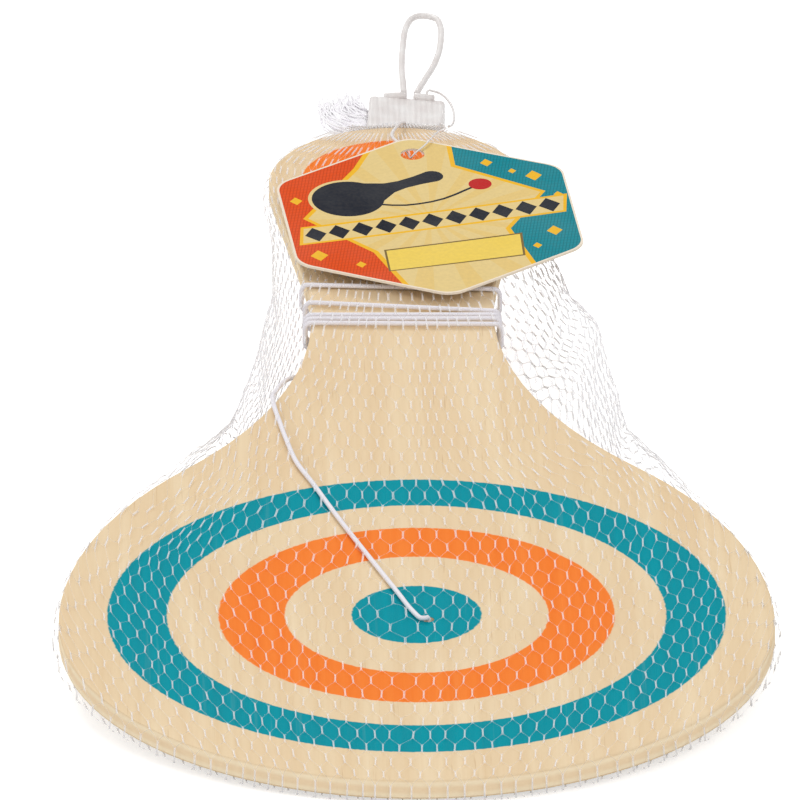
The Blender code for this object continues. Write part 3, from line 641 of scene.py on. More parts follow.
def board_half(v):
    """Half width of the board at height v."""
    if v <= head_at:
        return math.sqrt(max(head_radius ** 2 - (v - head_at) ** 2, 0.0))
    if v <= shoulder_end.y:
        return shoulder_centre.x + math.sqrt(shoulder_radius ** 2 - (v - head_at) ** 2)
    if v <= waist_end.y:
        return waist_centre.x - math.sqrt(waist_radius ** 2 - (v - neck_at) ** 2)
    if v <= bulb_start.y:
        return between(waist_end.x, bulb_start.x, (v - waist_end.y) / (bulb_start.y - waist_end.y))
    return math.sqrt(max(bulb_radius ** 2 - (v - bulb_at) ** 2, 0.0))


# String

string_radius = string_dia / 2
over_face = strand_gap + string_radius
under_board = -board_thick - strand_gap - string_radius
winding_low = 0.1222
winding_rise_right = (0.0, 0.0024, 0.0041, 0.0058, 0.0153)
winding_rise_left = (0.0012, 0.0030, 0.0047, 0.0101, 0.0178)
winding_stand_off = 0.0007
winding_corner = 0.0013
straight_parts = [step / 6 for step in range(1, 6)]     # points of a loop over the board
hole_at = (0.0021, -0.0021)


def end_turn(u, v, mid, half_height, side):
    """A loop's turn round one side of the neck."""
    drop = half_height - winding_corner
    low_corner = [(-90 + 30 * step, -drop) for step in range(4)]
    high_corner = [(30 * step, drop) for step in range(4)]
    points = []
    for angle, rise in low_corner + [(0, 0.0)] + high_corner:
        across = side * winding_corner * math.cos(math.radians(angle))
        climb = side * (rise + winding_corner * math.sin(math.radians(angle)))
        points.append((u + across, v, mid + climb))
    return points


def winding_route():
    """Five loops round the neck, the fourth sloping down over the others as in the photograph."""
    half_height = board_thick / 2 + strand_gap + string_radius
    mid = -board_thick / 2
    loops = list(zip(winding_rise_right, winding_rise_left))
    points = []
    for turn, (rise_right, rise_left) in enumerate(loops):
        right_v = winding_low + rise_right
        left_v = winding_low + rise_left
        right_u = board_half(right_v) + winding_stand_off + string_radius - winding_corner
        left_u = winding_corner - (board_half(left_v) + winding_stand_off + string_radius)
        points += end_turn(right_u, right_v, mid, half_height, 1)
        for part in straight_parts:
            points.append((between(right_u, left_u, part), between(right_v, left_v, part),
                           mid + half_height))
        points += end_turn(left_u, left_v, mid, half_height, -1)
        if turn + 1 < len(loops):
            next_v = winding_low + loops[turn + 1][0]
            for part in straight_parts:
                points.append((between(left_u, right_u, part), between(left_v, next_v, part),
                               mid - half_height))
    return points


def front_route(join):
    """From the knot behind the board through the hole, over the face and round the left edge."""
    u, v = hole_at
    low = under_board
    return [(u, v, low), (u, v, -0.5 * board_thick), (u, v, 0.0002), (0.0016, -0.0029, 0.0007),
            (0.0006, -0.0029, over_face), (-0.0005, -0.0006, over_face), (-0.0017, 0.0026, over_face),
            (-0.0036, 0.0086, over_face), (-0.0108, 0.0304, over_face), (-0.0150, 0.0437, over_face),
            (-0.0183, 0.0547, over_face), (-0.0211, 0.0636, over_face), (-0.0228, 0.0732, over_face),
            (-0.0238, 0.0800, over_face), (-0.0247, 0.0865, over_face), (-0.0250, 0.0906, 0.00062),
            (-0.0249, 0.0947, -0.0004), (-0.0243, 0.0976, -0.0010), (-0.0235, 0.1017, -0.0019),
            (-0.0226, 0.1056, -0.0029), (-0.0216, 0.1089, -0.0039), (-0.0200, 0.1113, -0.0046),
            (-0.0165, 0.1132, low), (-0.0060, 0.1165, low), (0.0050, 0.1192, low),
            (join[0] - 0.0050, join[1] - 0.0009, low), (join[0] - 0.0020, join[1], low)]


def tail_route(join):
    """From the neck down to the ball's bore and out at its far side."""
    ball_radius = ball_dia / 2
    return [(join[0] + 0.0020, join[1], under_board),
            (join[0] + 0.0060, join[1] + 0.0010, under_board - 0.0003),
            (-0.0030, ball_at - 0.0300, under_board - 0.0015),
            (-0.0008, ball_at - 0.0245, under_board - 0.0045),
            (0.0, ball_at - ball_radius - 0.0065, -ball_drop + 0.0015),
            (0.0, ball_at - ball_radius, -ball_drop), (0.0, ball_at, -ball_drop),
            (0.0, ball_at + ball_radius + strand_gap, -ball_drop)]


def make_string(mat):
    """The elastic string in one run: hole, face, windings and down to the ball."""
    loops = winding_route()
    route = front_route(loops[0]) + loops + tail_route(loops[-1])
    line = world_line(smooth_line(route, 0.00055))
    string = strand_mesh("elastic_string", [line], [string_radius], 12, mat, "root")
    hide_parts("string_front", "string_windings", "string_tail")


# Tag: a printed card. Its print is cut into the card's own faces

card_to_paddle = (Matrix.Translation((tag_centre.x, tag_centre.y, 0))
                  @ Matrix.Rotation(tag_turn, 4, "Z"))


def tag_corners():
    for step in range(6):
        angle = math.radians(90 - 60 * step)
        yield tag_radius * Vector((math.cos(angle), math.sin(angle)))


tag_low = tag_centre.y + min((card_to_paddle.to_2x2() @ corner).y for corner in tag_corners())
tag_hole = Vector((0.0, tag_radius - tag_hole_inset))


def tag_under(v):
    """Height of the card's underside above the face."""
    return tag_off_face + (v - tag_low) * math.tan(tag_lean)


def rounded_outline(corners, radius, steps=7):
    """Counter-clockwise outline of a polygon given clockwise, its corners as arcs."""
    points = []
    corners = list(corners)
    for i, corner in enumerate(corners):
        before = (corners[i - 1] - corner).normalized()
        after = (corners[(i + 1) % len(corners)] - corner).normalized()
        half = before.angle(after) / 2
        centre = corner + (before + after).normalized() * radius / math.sin(half)
        start = corner + before * radius / math.tan(half) - centre
        stop = corner + after * radius / math.tan(half) - centre
        turn = start.angle_signed(stop)
        for step in range(steps):
            points.append(Matrix.Rotation(-turn * step / (steps - 1), 2) @ start + centre)
    return points[::-1]


def disc(x, y, radius, steps=28):
    return [Vector((x + radius * math.cos(math.tau * i / steps),
                    y + radius * math.sin(math.tau * i / steps))) for i in range(steps)]


def band(line, width):
    """Outline of a stripe of one width along a line."""
    line = [Vector(p) for p in line]
    left = []
    right = []
    for i, spot in enumerate(line):
        ahead = (line[min(i + 1, len(line) - 1)] - line[max(i - 1, 0)]).normalized()
        side = Vector((-ahead.y, ahead.x)) * width / 2
        left.append(spot + side)
        right.append(spot - side)
    return right + left[::-1]


def counter_clockwise(outline):
    area = sum(a.x * b.y - b.x * a.y for a, b in zip(outline, outline[1:] + outline[:1]))
    return outline if area > 0 else outline[::-1]


def swept(points, spacing=0.0025):
    """A smooth line through a few points of the plane."""
    line = smooth_line([(x, y, 0.0) for x, y in points], spacing)
    return [Vector(p[:2].tolist()) for p in line]


def at_mm(*places):
    return [Vector((x * 0.001, y * 0.001)) for x, y in places]


def lozenge(x, y, reach, tall=1.25, tilt=0.0):
    """A diamond, `tall` times as high as wide."""
    corners = ((-reach, 0.0), (0.0, -tall * reach), (reach, 0.0), (0.0, tall * reach))
    turn = Matrix.Rotation(tilt, 2)
    return [(turn @ Vector(corner) + Vector((x, y))) * 0.001 for corner in corners]


def paddle_sign(head, grip, radius):
    """Plain silhouette of a paddle from its head to its grip's end, in mm."""
    run = (Vector(grip) - Vector(head)).normalized()
    side = Vector((-run.y, run.x))
    length = (Vector(grip) - Vector(head)).length
    half = []
    for step in range(19):
        angle = math.radians(180 - 145 * step / 18)
        half.append((radius * math.cos(angle), radius * math.sin(angle)))
    half += [(1.30 * radius, 0.30 * radius), (1.70 * radius, 0.23 * radius),
             (length - 0.45 * radius, 0.25 * radius)]
    for step in range(7):
        angle = math.radians(110 - 110 * step / 6)
        half.append((length + 0.32 * radius * math.cos(angle), 0.32 * radius * math.sin(angle)))
    outline = half + [(x, -y) for x, y in reversed(half[1:-1])]
    return [(Vector(head) + run * x + side * y) * 0.001 for x, y in outline]


rays = 18
ray_spread = 0.07           # half a ray's angle
border_lozenges = 11
printed_share = 0.985       # the rest is the card's bare cut margin
card_bow = 0.00022
card_wave = 0.00006
sparks = ((21.6, 13.0, 1.6), (25.2, 5.0, 0.9), (13.4, 19.4, 1.2), (22.6, -9.0, 1.5), (18.6, -14.4, 0.9),
          (17.8, 15.4, 0.8), (-24.4, 8.6, 1.2), (-22.8, -13.2, 1.7), (-15.4, -17.6, 1.0))


def tag_print():
    """The print's regions, lowest first: name of the ink and outline, in the card's own frame."""
    regions = []
    for ray in range(rays):
        angle = math.tau * ray / rays
        ends = [Vector((math.cos(angle + turn), math.sin(angle + turn))) * 0.045
                for turn in (-ray_spread, ray_spread)]
        regions.append(("gold", [Vector((0.0, -0.001)), *ends]))
    left_line = at_mm((-5.0, 34.0), (-11.5, 20.0), (-23.5, 1.5), (-12.0, -13.0), (-6.0, -34.0))
    right_line = at_mm((7.5, 34.0), (7.0, 19.0), (22.5, 6.5), (14.0, -7.0), (19.5, -34.0))
    regions.append(("orange", left_line + at_mm((-40, -36), (-40, 36))))
    regions.append(("teal", right_line + at_mm((40, -30), (40, 36))))
    regions.append(("yellow", band(left_line, 0.0010)))
    regions.append(("yellow", band(right_line, 0.0010)))
    regions += [("yellow", lozenge(*spark)) for spark in sparks]
    # a paddle and its ball, drawn plainly
    regions.append(("cream", paddle_sign((-14.5, 8.4), (2.6, 15.4), 7.6)))
    regions.append(("navy", paddle_sign((-14.5, 8.4), (2.4, 15.3), 6.9)))
    flight = swept([(-0.0090, 0.0056), (-0.0040, 0.0046), (0.0030, 0.0060), (0.0100, 0.0104)])
    regions.append(("navy", band(flight, 0.0006)))
    regions.append(("red", disc(0.0111, 0.0111, 0.0022)))
    # a harlequin border
    regions.append(("yellow", at_mm((-26.0, -8.8), (25.8, -2.0), (26.9, 5.0), (-24.9, -1.8))))
    regions.append(("cream", at_mm((-25.2, -8.1), (25.3, -1.4), (26.1, 4.3), (-24.4, -2.4))))
    for step in range(border_lozenges):
        part = step / (border_lozenges - 1)
        regions.append(("navy", lozenge(-22.4 + 45.4 * part, -4.9 + 6.0 * part, 2.1, 1.30, 0.13)))
    # a plain panel
    regions.append(("brown", at_mm((-10.4, -12.4), (16.4, -9.0), (15.8, -18.0), (-10.6, -21.0))))
    regions.append(("yellow_pale", at_mm((-10.0, -12.8), (15.9, -9.5), (15.4, -17.6), (-10.2, -20.6))))
    return regions


inks = {"cream": ((228, 202, 138), 0.0), "gold": ((228, 197, 124), 0.0), "orange": ((230, 78, 12), 0.8),
        "teal": ((0, 138, 152), 0.8), "yellow": ((240, 184, 34), 0.0), "navy": ((20, 25, 38), 0.0),
        "red": ((190, 28, 30), 0.0), "brown": ((122, 100, 52), 0.0), "yellow_pale": ((238, 206, 92), 0.0),
        "card_white": ((240, 226, 206), 0.0)}


def tag_height(p):
    """The card's slight bow across its width."""
    return card_bow * (p.x / tag_radius) ** 2 + card_wave * math.sin(p.y / 0.009)


def make_tag():
    """Card with a white cut margin; each print region's triangles take that region's ink."""
    names = list(inks)
    edge = rounded_outline(tag_corners(), tag_corner_round)
    margin = [p * printed_share for p in edge]
    regions = [("cream", margin)] + tag_print()
    points = []
    loops = []

    def add_loop(outline):
        outline = counter_clockwise(outline)
        first = len(points)
        points.extend(outline)
        loops.append(list(range(first, len(points))))

    add_loop(edge)
    add_loop(disc(*tag_hole, tag_hole_radius))
    for _, outline in regions:
        add_loop(outline)
    flat, _, faces, _, _, owners = delaunay_2d_cdt(points, [], loops, 1, 1e-7)
    bm = bmesh.new()
    turn = Matrix.Rotation(tag_lean, 4, "X")
    pivot = card_to_paddle @ tag_hole.to_3d()

    def place(p, side):
        spot = card_to_paddle @ Vector((p.x, p.y, tag_height(p) + side * tag_thick))
        spot = turn @ (spot - pivot) + pivot
        spot.z += tag_under(pivot.y)
        return to_world @ spot

    top = [bm.verts.new(place(p, 1)) for p in flat]
    under = [bm.verts.new(place(p, 0)) for p in flat]
    rim = {}
    for face, owner in zip(faces, owners):
        owner = set(owner)
        if 0 not in owner or 1 in owner:
            continue
        ink = "card_white"
        for index, (name, _) in enumerate(regions):
            if index + 2 in owner and 2 in owner:
                ink = name
        made = bm.faces.new([top[i] for i in face])
        made.material_index = names.index(ink)
        made = bm.faces.new([under[i] for i in reversed(face)])
        made.material_index = names.index("card_white")
        for a, b in zip(face, face[1:] + face[:1]):
            rim[a, b] = True
    for a, b in rim:
        if (b, a) not in rim:
            made = bm.faces.new((top[b], top[a], under[a], under[b]))
            made.material_index = names.index("card_white")
    loose = [vert for vert in bm.verts if not vert.link_faces]
    bmesh.ops.delete(bm, geom=loose, context="VERTS")
    mats = [printed_card("ink_" + name, srgb(*colour), dots) for name, (colour, dots) in inks.items()]
    piece = new_piece("printed_tag", mesh_from(bm, "printed_tag"), mats, "tag")
    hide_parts("tag")


# Net bag

bag_top = clip_low + 0.0030
bag_radius = head_radius + net_rim_clear
left_slack = ((0.00, 0.0), (0.30, 0.0), (0.43, 0.0006), (0.56, 0.0040), (0.68, 0.0048),
              (0.81, 0.0072), (1.00, 0.0066), (1.13, 0.0032), (1.27, 0.0012), (1.44, 0.0))
right_slack = ((0.00, 0.0), (0.30, 0.0), (0.43, 0.0030), (0.56, 0.0100), (0.68, 0.0125),
               (0.81, 0.0166), (1.00, 0.0170), (1.13, 0.0105), (1.27, 0.0054), (1.44, 0.0))
throat_at = bulb_at + 0.86 * bulb_radius
mouth_half_width = clip_width / 2 - 0.0018
cad_rim_clear = 0.0026
rim_loose = (0.02, 0.07, 0.145, 0.030)      # where the rim stands off: start, run, end and fall
gather_loose = (0.02, 0.06, 0.12, 0.09)     # where the strands run closer together
folded = (0.05, 0.20)                       # where the slack has folds
fold_from = 0.0020          # beside the board
fold_over = 0.0060
fold_waves = (0.0009, 0.0008)               # heights of the close and the wide folds
fold_drift = 0.0004
string_rise = (-0.02, 0.115)                # where the net may rise over the string
winding_rise = (0.10, 0.16)                 # and over its loops
winding_high = winding_low + max(winding_rise_left)
over_string = string_dia + strand_gap + 0.0003
flat_halves = (0.0560, 0.0050)              # half width of what lies flat, at the head and the ball
least_back_run = 0.0020
back_level = 0.00030
edge_inset = 0.0018         # past the board's rounded edge
edge_climb = 0.0052         # what the net climbs on its way there
front_run = 0.0017          # how soon it reaches its full height beside the board

# How the net is drawn sideways, in columns: size, change over columns and rows, and start of each wave
drawn_waves = ((0.62, 0.113, 0.16, 0.7), (0.34, 0.37, -0.31, 2.1), (0.10, 1.21, 0.9, 0.0),
               (0.05, 2.3, -1.7, 1.0))
ladder_column = -7.0 / 3    # a column of wide meshes, where a thread was pulled, from the middle
ladder_sway = 0.8
ladder_pull = 0.55
ladder_width = 0.9
ladder_reach = 17.0


def hermite(stations, x):
    """Value at x of a smooth curve through (x, value) stations."""
    if x <= stations[0][0]:
        return stations[0][1]
    if x >= stations[-1][0]:
        return stations[-1][1]
    index = next(i for i, station in enumerate(stations) if station[0] > x) - 1
    (xa, ya), (xb, yb) = stations[index], stations[index + 1]
    before = stations[max(index - 1, 0)]
    after = stations[min(index + 2, len(stations) - 1)]
    slope_a = (yb - before[1]) / (xb - before[0])
    slope_b = (after[1] - ya) / (after[0] - xa)
    t = (x - xa) / (xb - xa)
    run = xb - xa
    return (ya * (1 + 2 * t) * (1 - t) ** 2 + slope_a * run * t * (1 - t) ** 2
            + yb * t * t * (3 - 2 * t) - slope_b * run * t * t * (1 - t))


def slack_stations(side):
    """(v, room beside the board) up one side."""
    stations = []
    for part, extra in right_slack if side > 0 else left_slack:
        stations.append((head_at + part * (neck_at - head_at), extra))
    return stations


slack = {1: slack_stations(1), -1: slack_stations(-1)}


def eased(t):
    t = min(max(t, 0.0), 1.0)
    return t * t * (3 - 2 * t)


def swell(v, start, run, end, fall):
    """0 up to start, 1 from start + run to end, and 0 again after end + fall."""
    return eased((v - start) / run) * (1 - eased((v - end) / fall))


def rim_clear(v):
    """How far the net stands off what it holds: tight round the head, loose at the neck."""
    return between(net_rim_clear, cad_rim_clear, swell(v, *rim_loose))


def bag_half(side, v):
    """Half width of the bag on one side at height v."""
    if v <= throat_at:
        return board_half(max(v, head_at)) + rim_clear(v) + max(hermite(slack[side], v), 0.0)
    start = board_half(throat_at) + rim_clear(throat_at)
    end = mouth_half_width + side * clip_shift
    return between(start, end, min((v - throat_at) / (clip_low - throat_at), 1.0))


string_on_face = [Vector((u, v)) for u, v, h in front_route(winding_route()[0])[3:17]]


def distance_to_line(spot, line):
    least = 1.0
    for a, b in zip(line, line[1:]):
        run = b - a
        part = min(max((spot - a).dot(run) / run.length_squared, 0.0), 1.0)
        least = min(least, (a + run * part - spot).length)
    return least


top_heights = ((handle_end - 0.0100, net_on_face), (handle_end - 0.0030, 0.0009), (handle_end, 0.0010),
               (clip_low, 0.0020 - clip_depth), (bag_top, 0.0003 - clip_depth))


def net_height(u, v):
    """Height of the net over the face: it lies on the wood and rises over the string."""
    spot = Vector((u, v))
    height = net_on_face
    if string_rise[0] < v < string_rise[1]:
        away = distance_to_line(spot, string_on_face)
        height = max(height, over_string - net_slope * max(away - 0.0004, 0.0))
    if winding_rise[0] < v < winding_rise[1]:
        away = max(winding_low - 0.0006 - v, v - winding_high - 0.0005, 0.0)
        height = max(height, over_string - net_slope * away)
    if v > top_heights[0][0]:
        height = hermite(top_heights, v)
    return height


def rim_level(v):
    """World height of the fold between the bag's front and back."""
    drop = hermite(((throat_at, board_thick + 0.0002), (clip_low, clip_depth), (bag_top, clip_depth)), v)
    return max(on_paddle(0, v, -drop).z, 0.00045)


def back_run(side, v):
    """How far in from the fold the back reaches the level that it lies on."""
    part = min(max((v - head_at) / (ball_at - head_at), 0.0), 1.0)
    return max(bag_half(side, max(v, head_at)) - between(*flat_halves, part), least_back_run)


def front_point(u, v, inset, side):
    wide = bag_half(side, v) - board_half(v) if v > head_at else net_rim_clear
    run = max(front_run, 0.75 * wide)
    part = min(inset / run, 1.0)
    part = math.sqrt(1 - (1 - part) ** 2)
    rim = rim_level(v)
    top = on_paddle(u, v, net_height(u, v))
    plan = on_paddle(u, v, -board_thick)
    return (u, between(plan.y, top.y, part), between(rim, top.z, part))


def back_point(u, v, inset, side):
    plan = on_paddle(u, v, -board_thick)
    rim = rim_level(v)
    part = inset / back_run(side, v)
    flat = between(rim, back_level, 0.55 * min(part, 1.0) + 0.45 * eased(part))
    ramp_start = ball_at + ball_dia / 2 + 0.0010
    climb = eased((v - ramp_start) / (clip_low - ramp_start))
    drop = hermite(((handle_end, board_thick + 0.0008), (clip_low, clip_depth + 0.0014),
                    (bag_top, clip_depth + 0.0003)), v)
    end = on_paddle(0, v, -drop).z
    return (u, plan.y, flat + (end - flat) * climb * min(inset / 0.0023, 1.0))


def bag_section(t):
    """The bag's closed section at t, from 0 at the foot to 1 at the clip, back's middle first."""
    front_steps = 96
    points = []
    for i in range(2 * front_steps):
        front = i < front_steps
        angle = math.pi * (i % front_steps) / front_steps
        s = -math.cos(angle) if front else math.cos(angle)
        low = head_at - bag_radius * math.sqrt(max(1 - s * s, 0.0))
        v = low + (bag_top - low) * t
        side = 1 if s > 0 else -1
        if v < head_at:
            u = s * bag_radius
            inset = bag_radius - math.hypot(u, v - head_at)
        else:
            half = bag_half(side, v)
            u = s * half
            inset = half - abs(u)
        inset = max(inset, 0.0)
        points.append(front_point(u, v, inset, side) if front else back_point(u, v, inset, side))
    start = front_steps + front_steps // 2
    return points[start:] + points[:start]


def pleats(spots, v):
    """Loose folds where the net hangs free beside the neck."""
    moved = []
    for u, y, z in spots:
        free = eased((abs(u) - board_half(v) - fold_from) / fold_over) if folded[0] < v < folded[1] else 0.0
        if free == 0.0:
            moved.append((u, y, z))
            continue
        close = noise.noise(Vector((u * 520, y * 30, 3.0 + z * 160)))
        wide = noise.noise(Vector((u * 140, y * 55, 9.0)))
        rise = fold_waves[0] * close + fold_waves[1] * wide
        moved.append((u + fold_drift * free * wide, y, z + free * rise))
    return moved


def row_to_t(row):
    """Rows are evenly spaced along the net, the first of them over the board's edge."""
    length = bag_top - head_at + bag_radius
    walked = row / net_rows * (length - edge_inset + edge_climb)
    if walked < edge_climb:
        return edge_inset * walked / edge_climb / length
    return (edge_inset + walked - edge_climb) / length


def net_samples():
    """(row, place in rows, how far over to its node, 1 in a node and 0 between) along a strand."""
    shape = ((-net_node_share, 1.0, 1.0), (net_node_share, 1.0, 1.0), (0.33, 0.72, 0.15),
             (0.5, 0.0, 0.0), (0.67, -0.72, 0.15))
    samples = [(0, 0.0, 1.0, 1.0)]
    for row in range(net_rows + 1):
        for offset, lean_over, node in shape:
            if 0 < row + offset <= net_rows:
                samples.append((row, row + offset, lean_over, node))
    return samples


def uneven(c, place):
    """How far a spot of the net is drawn sideways, in columns: slow waves and one laddered column."""
    drawn = 0.0
    for size, over_columns, over_rows, start in drawn_waves:
        drawn = drawn + size * np.sin(over_columns * c + over_rows * place + start)
    off = c - (net_columns + ladder_column + ladder_sway * np.sin(0.21 * place + 1.0))
    return drawn + ladder_pull * np.tanh(off / ladder_width) * np.exp(-(off / ladder_reach) ** 2)


slack_from = 0.002          # beside the board
slack_full = 0.006
fold_gather = 1.4           # how much closer the strands run at the loose folds
fold_reach = 0.0040
beside_gather = 0.25        # and in the loose net beside the neck
beside_run = 0.015
hidden_share = 0.75         # and behind the board


def bunched(section, v):
    """How close together the strands run at each step of a section."""
    middle = np.abs(section[:-1, 0] + section[1:, 0]) / 2
    left = section[:-1, 0] < 0
    half = np.where(left, bag_half(-1, v), bag_half(1, v))
    fold = np.exp(-((half - middle) / fold_reach) ** 2)
    beside = np.clip((middle - board_half(v)) / beside_run, 0, 1)
    quarter = len(middle) // 4
    front = np.zeros(len(middle))
    front[quarter:3 * quarter] = 1.0
    closer = fold_gather * fold + beside_gather * beside * front
    closer -= (1 - hidden_share) * (1 - front) * (1 - fold)
    return 1 + swell(v, *gather_loose) * closer


def net_grid():
    """Where each strand runs: its spots as an array (samples, strands, 3), and its radii."""
    strands = 2 * net_columns
    numbers = np.arange(strands)
    spots = []
    radii = []
    for row, place, lean_over, node in net_samples():
        t = row_to_t(place)
        v = head_at + (bag_top - head_at) * t
        section = np.array(pleats(bag_section(t), v))
        section = np.vstack((section, section[:1]))
        steps = np.linalg.norm(np.diff(section[:, (0, 2)], axis=0), axis=1)
        pitch = steps.sum() / strands
        steps = steps * bunched(section, v)
        for half in np.split(steps, 2):
            half *= strands / 2 / half.sum()
        walked = np.concatenate(([0.0], np.cumsum(steps)))
        parity = np.where((numbers + row) % 2 == 0, 1.0, -1.0)
        apart = min(0.52 * net_node_radius / pitch, 0.3)
        across = numbers + 0.5 + parity * (0.5 - apart) * lean_over
        at = (across + uneven(across, place)) % strands
        spots.append(np.stack([np.interp(at, walked, section[:, axis]) for axis in range(3)], axis=1))
        radii.append(between(net_thread_radius, net_node_radius, node))
    return np.array(spots), np.array(radii)


def mark_slack(mesh):
    """Marks the points that lie in the slack beside the board."""
    spots = np.empty(3 * len(mesh.vertices), np.float32)
    mesh.vertices.foreach_get("co", spots)
    local = (spots.reshape(-1, 3) - np.array(paddle_origin)) @ np.array(to_world.to_3x3())
    heights = np.linspace(local[:, 1].min(), local[:, 1].max(), 400)
    halves = [board_half(height) for height in heights]
    off = np.abs(local[:, 0]) - np.interp(local[:, 1], heights, halves)
    share = mesh.attributes.new("beside_board", "FLOAT", "POINT")
    part = np.clip((off - slack_from) / (slack_full - slack_from), 0, 1)
    share.data.foreach_set("value", part.astype(np.float32))


def make_net(mat):
    """The knitted tube: zigzag strands that run up side by side and meet their neighbours in turn."""
    spots, radii = net_grid()
    strands = spots.shape[1]
    across = np.roll(spots, -1, axis=1) - np.roll(spots, 1, axis=1)
    along = np.gradient(spots, axis=0)
    along /= np.linalg.norm(along, axis=2)[:, :, None] + 1e-12
    out = np.cross(across, along)
    out /= np.linalg.norm(out, axis=2)[:, :, None] + 1e-12
    side = np.cross(along, out)
    spots[:, :, 2] = np.maximum(spots[:, :, 2], net_node_radius + 0.00002)
    halves = {"net_front": range(strands // 4, 3 * strands // 4),
              "net_back": list(range(3 * strands // 4, strands)) + list(range(strands // 4))}
    for name, numbers in halves.items():
        lines = [spots[:, k] for k in numbers]
        turned = [(side[:, k], out[:, k]) for k in numbers]
        piece = strand_mesh(name, lines, [radii] * len(lines), 4, mat, "root", turned, False)
        mark_slack(piece.data)
        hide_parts("bag_front_net" if name == "net_front" else "bag_back_net")


# Clip, gathered tail, ties and hang loop

tail_radius = 0.00017
hair_radius = 0.00006
tail_clumps = 6
strands_per_clump = 21
hairs_per_clump = 4
tail_root = (0.90, 0.12)    # where the strands leave the clip, highest and lowest, as shares of its length
tail_lowest = (0.2238, 0.2140)
tail_bend = ((-0.0058, 0.2252), (-0.0124, 0.2172))
tail_tip = ((-0.0062, 0.2284), (-0.0140, 0.2262))
clip_sag = (-0.0004, 0.0009)    # how far its top hangs under the model's, left and right
clip_round = 0.0008
clip_slit = (0.00022, 0.00020)  # half its height, and its depth
clip_rows = ((0.0, 0.00030), (0.004, 0.00012), (0.016, 0.00003), (0.030, 0.0), (0.2, 0.0), (0.4, 0.0),
             (0.6, 0.0), (0.8, 0.0), (0.970, 0.0), (0.984, 0.00003), (0.996, 0.00012), (1.0, 0.00030))
rib_pitch = 0.00104
rib_relief = 0.00004
loop_radius = 0.00062
loop_spots = ((2.30, 227.2, -0.45), (2.26, 230.4, -0.20), (2.13, 236.0, 0.00), (2.25, 242.0, 0.20),
              (2.55, 247.2, 0.37), (2.99, 252.8, 0.56), (3.83, 257.0, 0.70), (5.02, 259.2, 0.78),
              (6.63, 259.8, 0.80), (8.20, 259.3, 0.78), (9.35, 258.1, 0.75), (9.87, 255.5, 0.66),
              (10.0, 252.7, 0.56), (9.81, 248.5, 0.42), (9.37, 244.2, 0.28), (8.29, 238.7, 0.08),
              (6.59, 233.2, -0.11), (5.31, 229.0, -0.25), (4.75, 227.2, -0.55))
foot_radius = 0.00074
foot_spots = (((-1.6, 226.4, -0.62), (2.9, 226.4, -0.52)), ((4.1, 226.4, -0.62), (8.2, 226.2, -1.12)))
foot_shape = ((0.0, 0.30), (0.02, 0.75), (0.06, 1.0), (0.3, 1.0), (0.5, 1.0), (0.7, 1.0), (0.94, 1.0),
              (0.98, 0.75), (1.0, 0.30))     # how thick a foot is along its length


def make_tail(mat):
    """The net's cut end: strands that leave the clip at its left, turn up and end frayed."""
    rng = random.Random(seed)
    lines = []
    radii = []

    def strayed(start, end, share, reach):
        return between(start, end, share) + reach * rng.uniform(-1, 1)

    for clump in range(tail_clumps):
        clump_share = (clump + 0.5) / tail_clumps
        for strand in range(strands_per_clump):
            share = (clump + 0.5 + rng.uniform(-0.62, 0.62)) / tail_clumps
            level = -clip_depth + rng.uniform(-0.0010, 0.0016)
            root_v = clip_low + clip_length * between(*tail_root, share)
            low_v = strayed(*tail_lowest, share, 0.0011)
            bend_u = strayed(tail_bend[0][0], tail_bend[1][0], share, 0.0006)
            bend_v = strayed(tail_bend[0][1], tail_bend[1][1], share, 0.0010)
            tip_u = strayed(tail_tip[0][0], tail_tip[1][0], clump_share, 0.0008)
            tip_v = strayed(tail_tip[0][1], tail_tip[1][1], share, 0.0013)
            tip_h = level + rng.uniform(-0.0010, 0.0012)
            route = [(0.0020, root_v, -clip_depth), (-0.0036, (root_v + low_v) / 2, -clip_depth),
                     (-0.0052, low_v, level),
                     ((bend_u - 0.0052) / 2, (low_v + bend_v) / 2 - 0.0014 * share, level),
                     (bend_u, bend_v, level + 0.0003),
                     ((bend_u + tip_u) / 2 - 0.0002, (bend_v + tip_v) / 2, level),
                     (tip_u, tip_v, tip_h)]
            line = smooth_line(route, 0.0007)
            phase = rng.uniform(0, math.tau)
            steps = np.arange(len(line))
            line[:, 0] += 0.5 * tail_radius * np.sin(steps * 0.8 + phase)
            line[:, 2] += 0.5 * tail_radius * np.cos(steps * 0.7 + phase)
            lines.append(world_line(line))
            radii.append(tail_radius)
        for hair in range(hairs_per_clump):
            start = lines[-1 - hair * 2][-4]
            step = np.array([rng.uniform(-0.0012, 0.0002), rng.uniform(-0.0002, 0.0012),
                             rng.uniform(-0.0004, 0.0006)])
            curl = np.array([0.0, rng.uniform(-0.0006, 0.0006), 0.0])
            lines.append(smooth_line([start, start + step, start + 2 * step + curl], 0.0005))
            radii.append(hair_radius)
    piece = strand_mesh("gathered_tail", lines, radii, 6, mat, "root", smooth=False)
    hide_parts("net_gather")


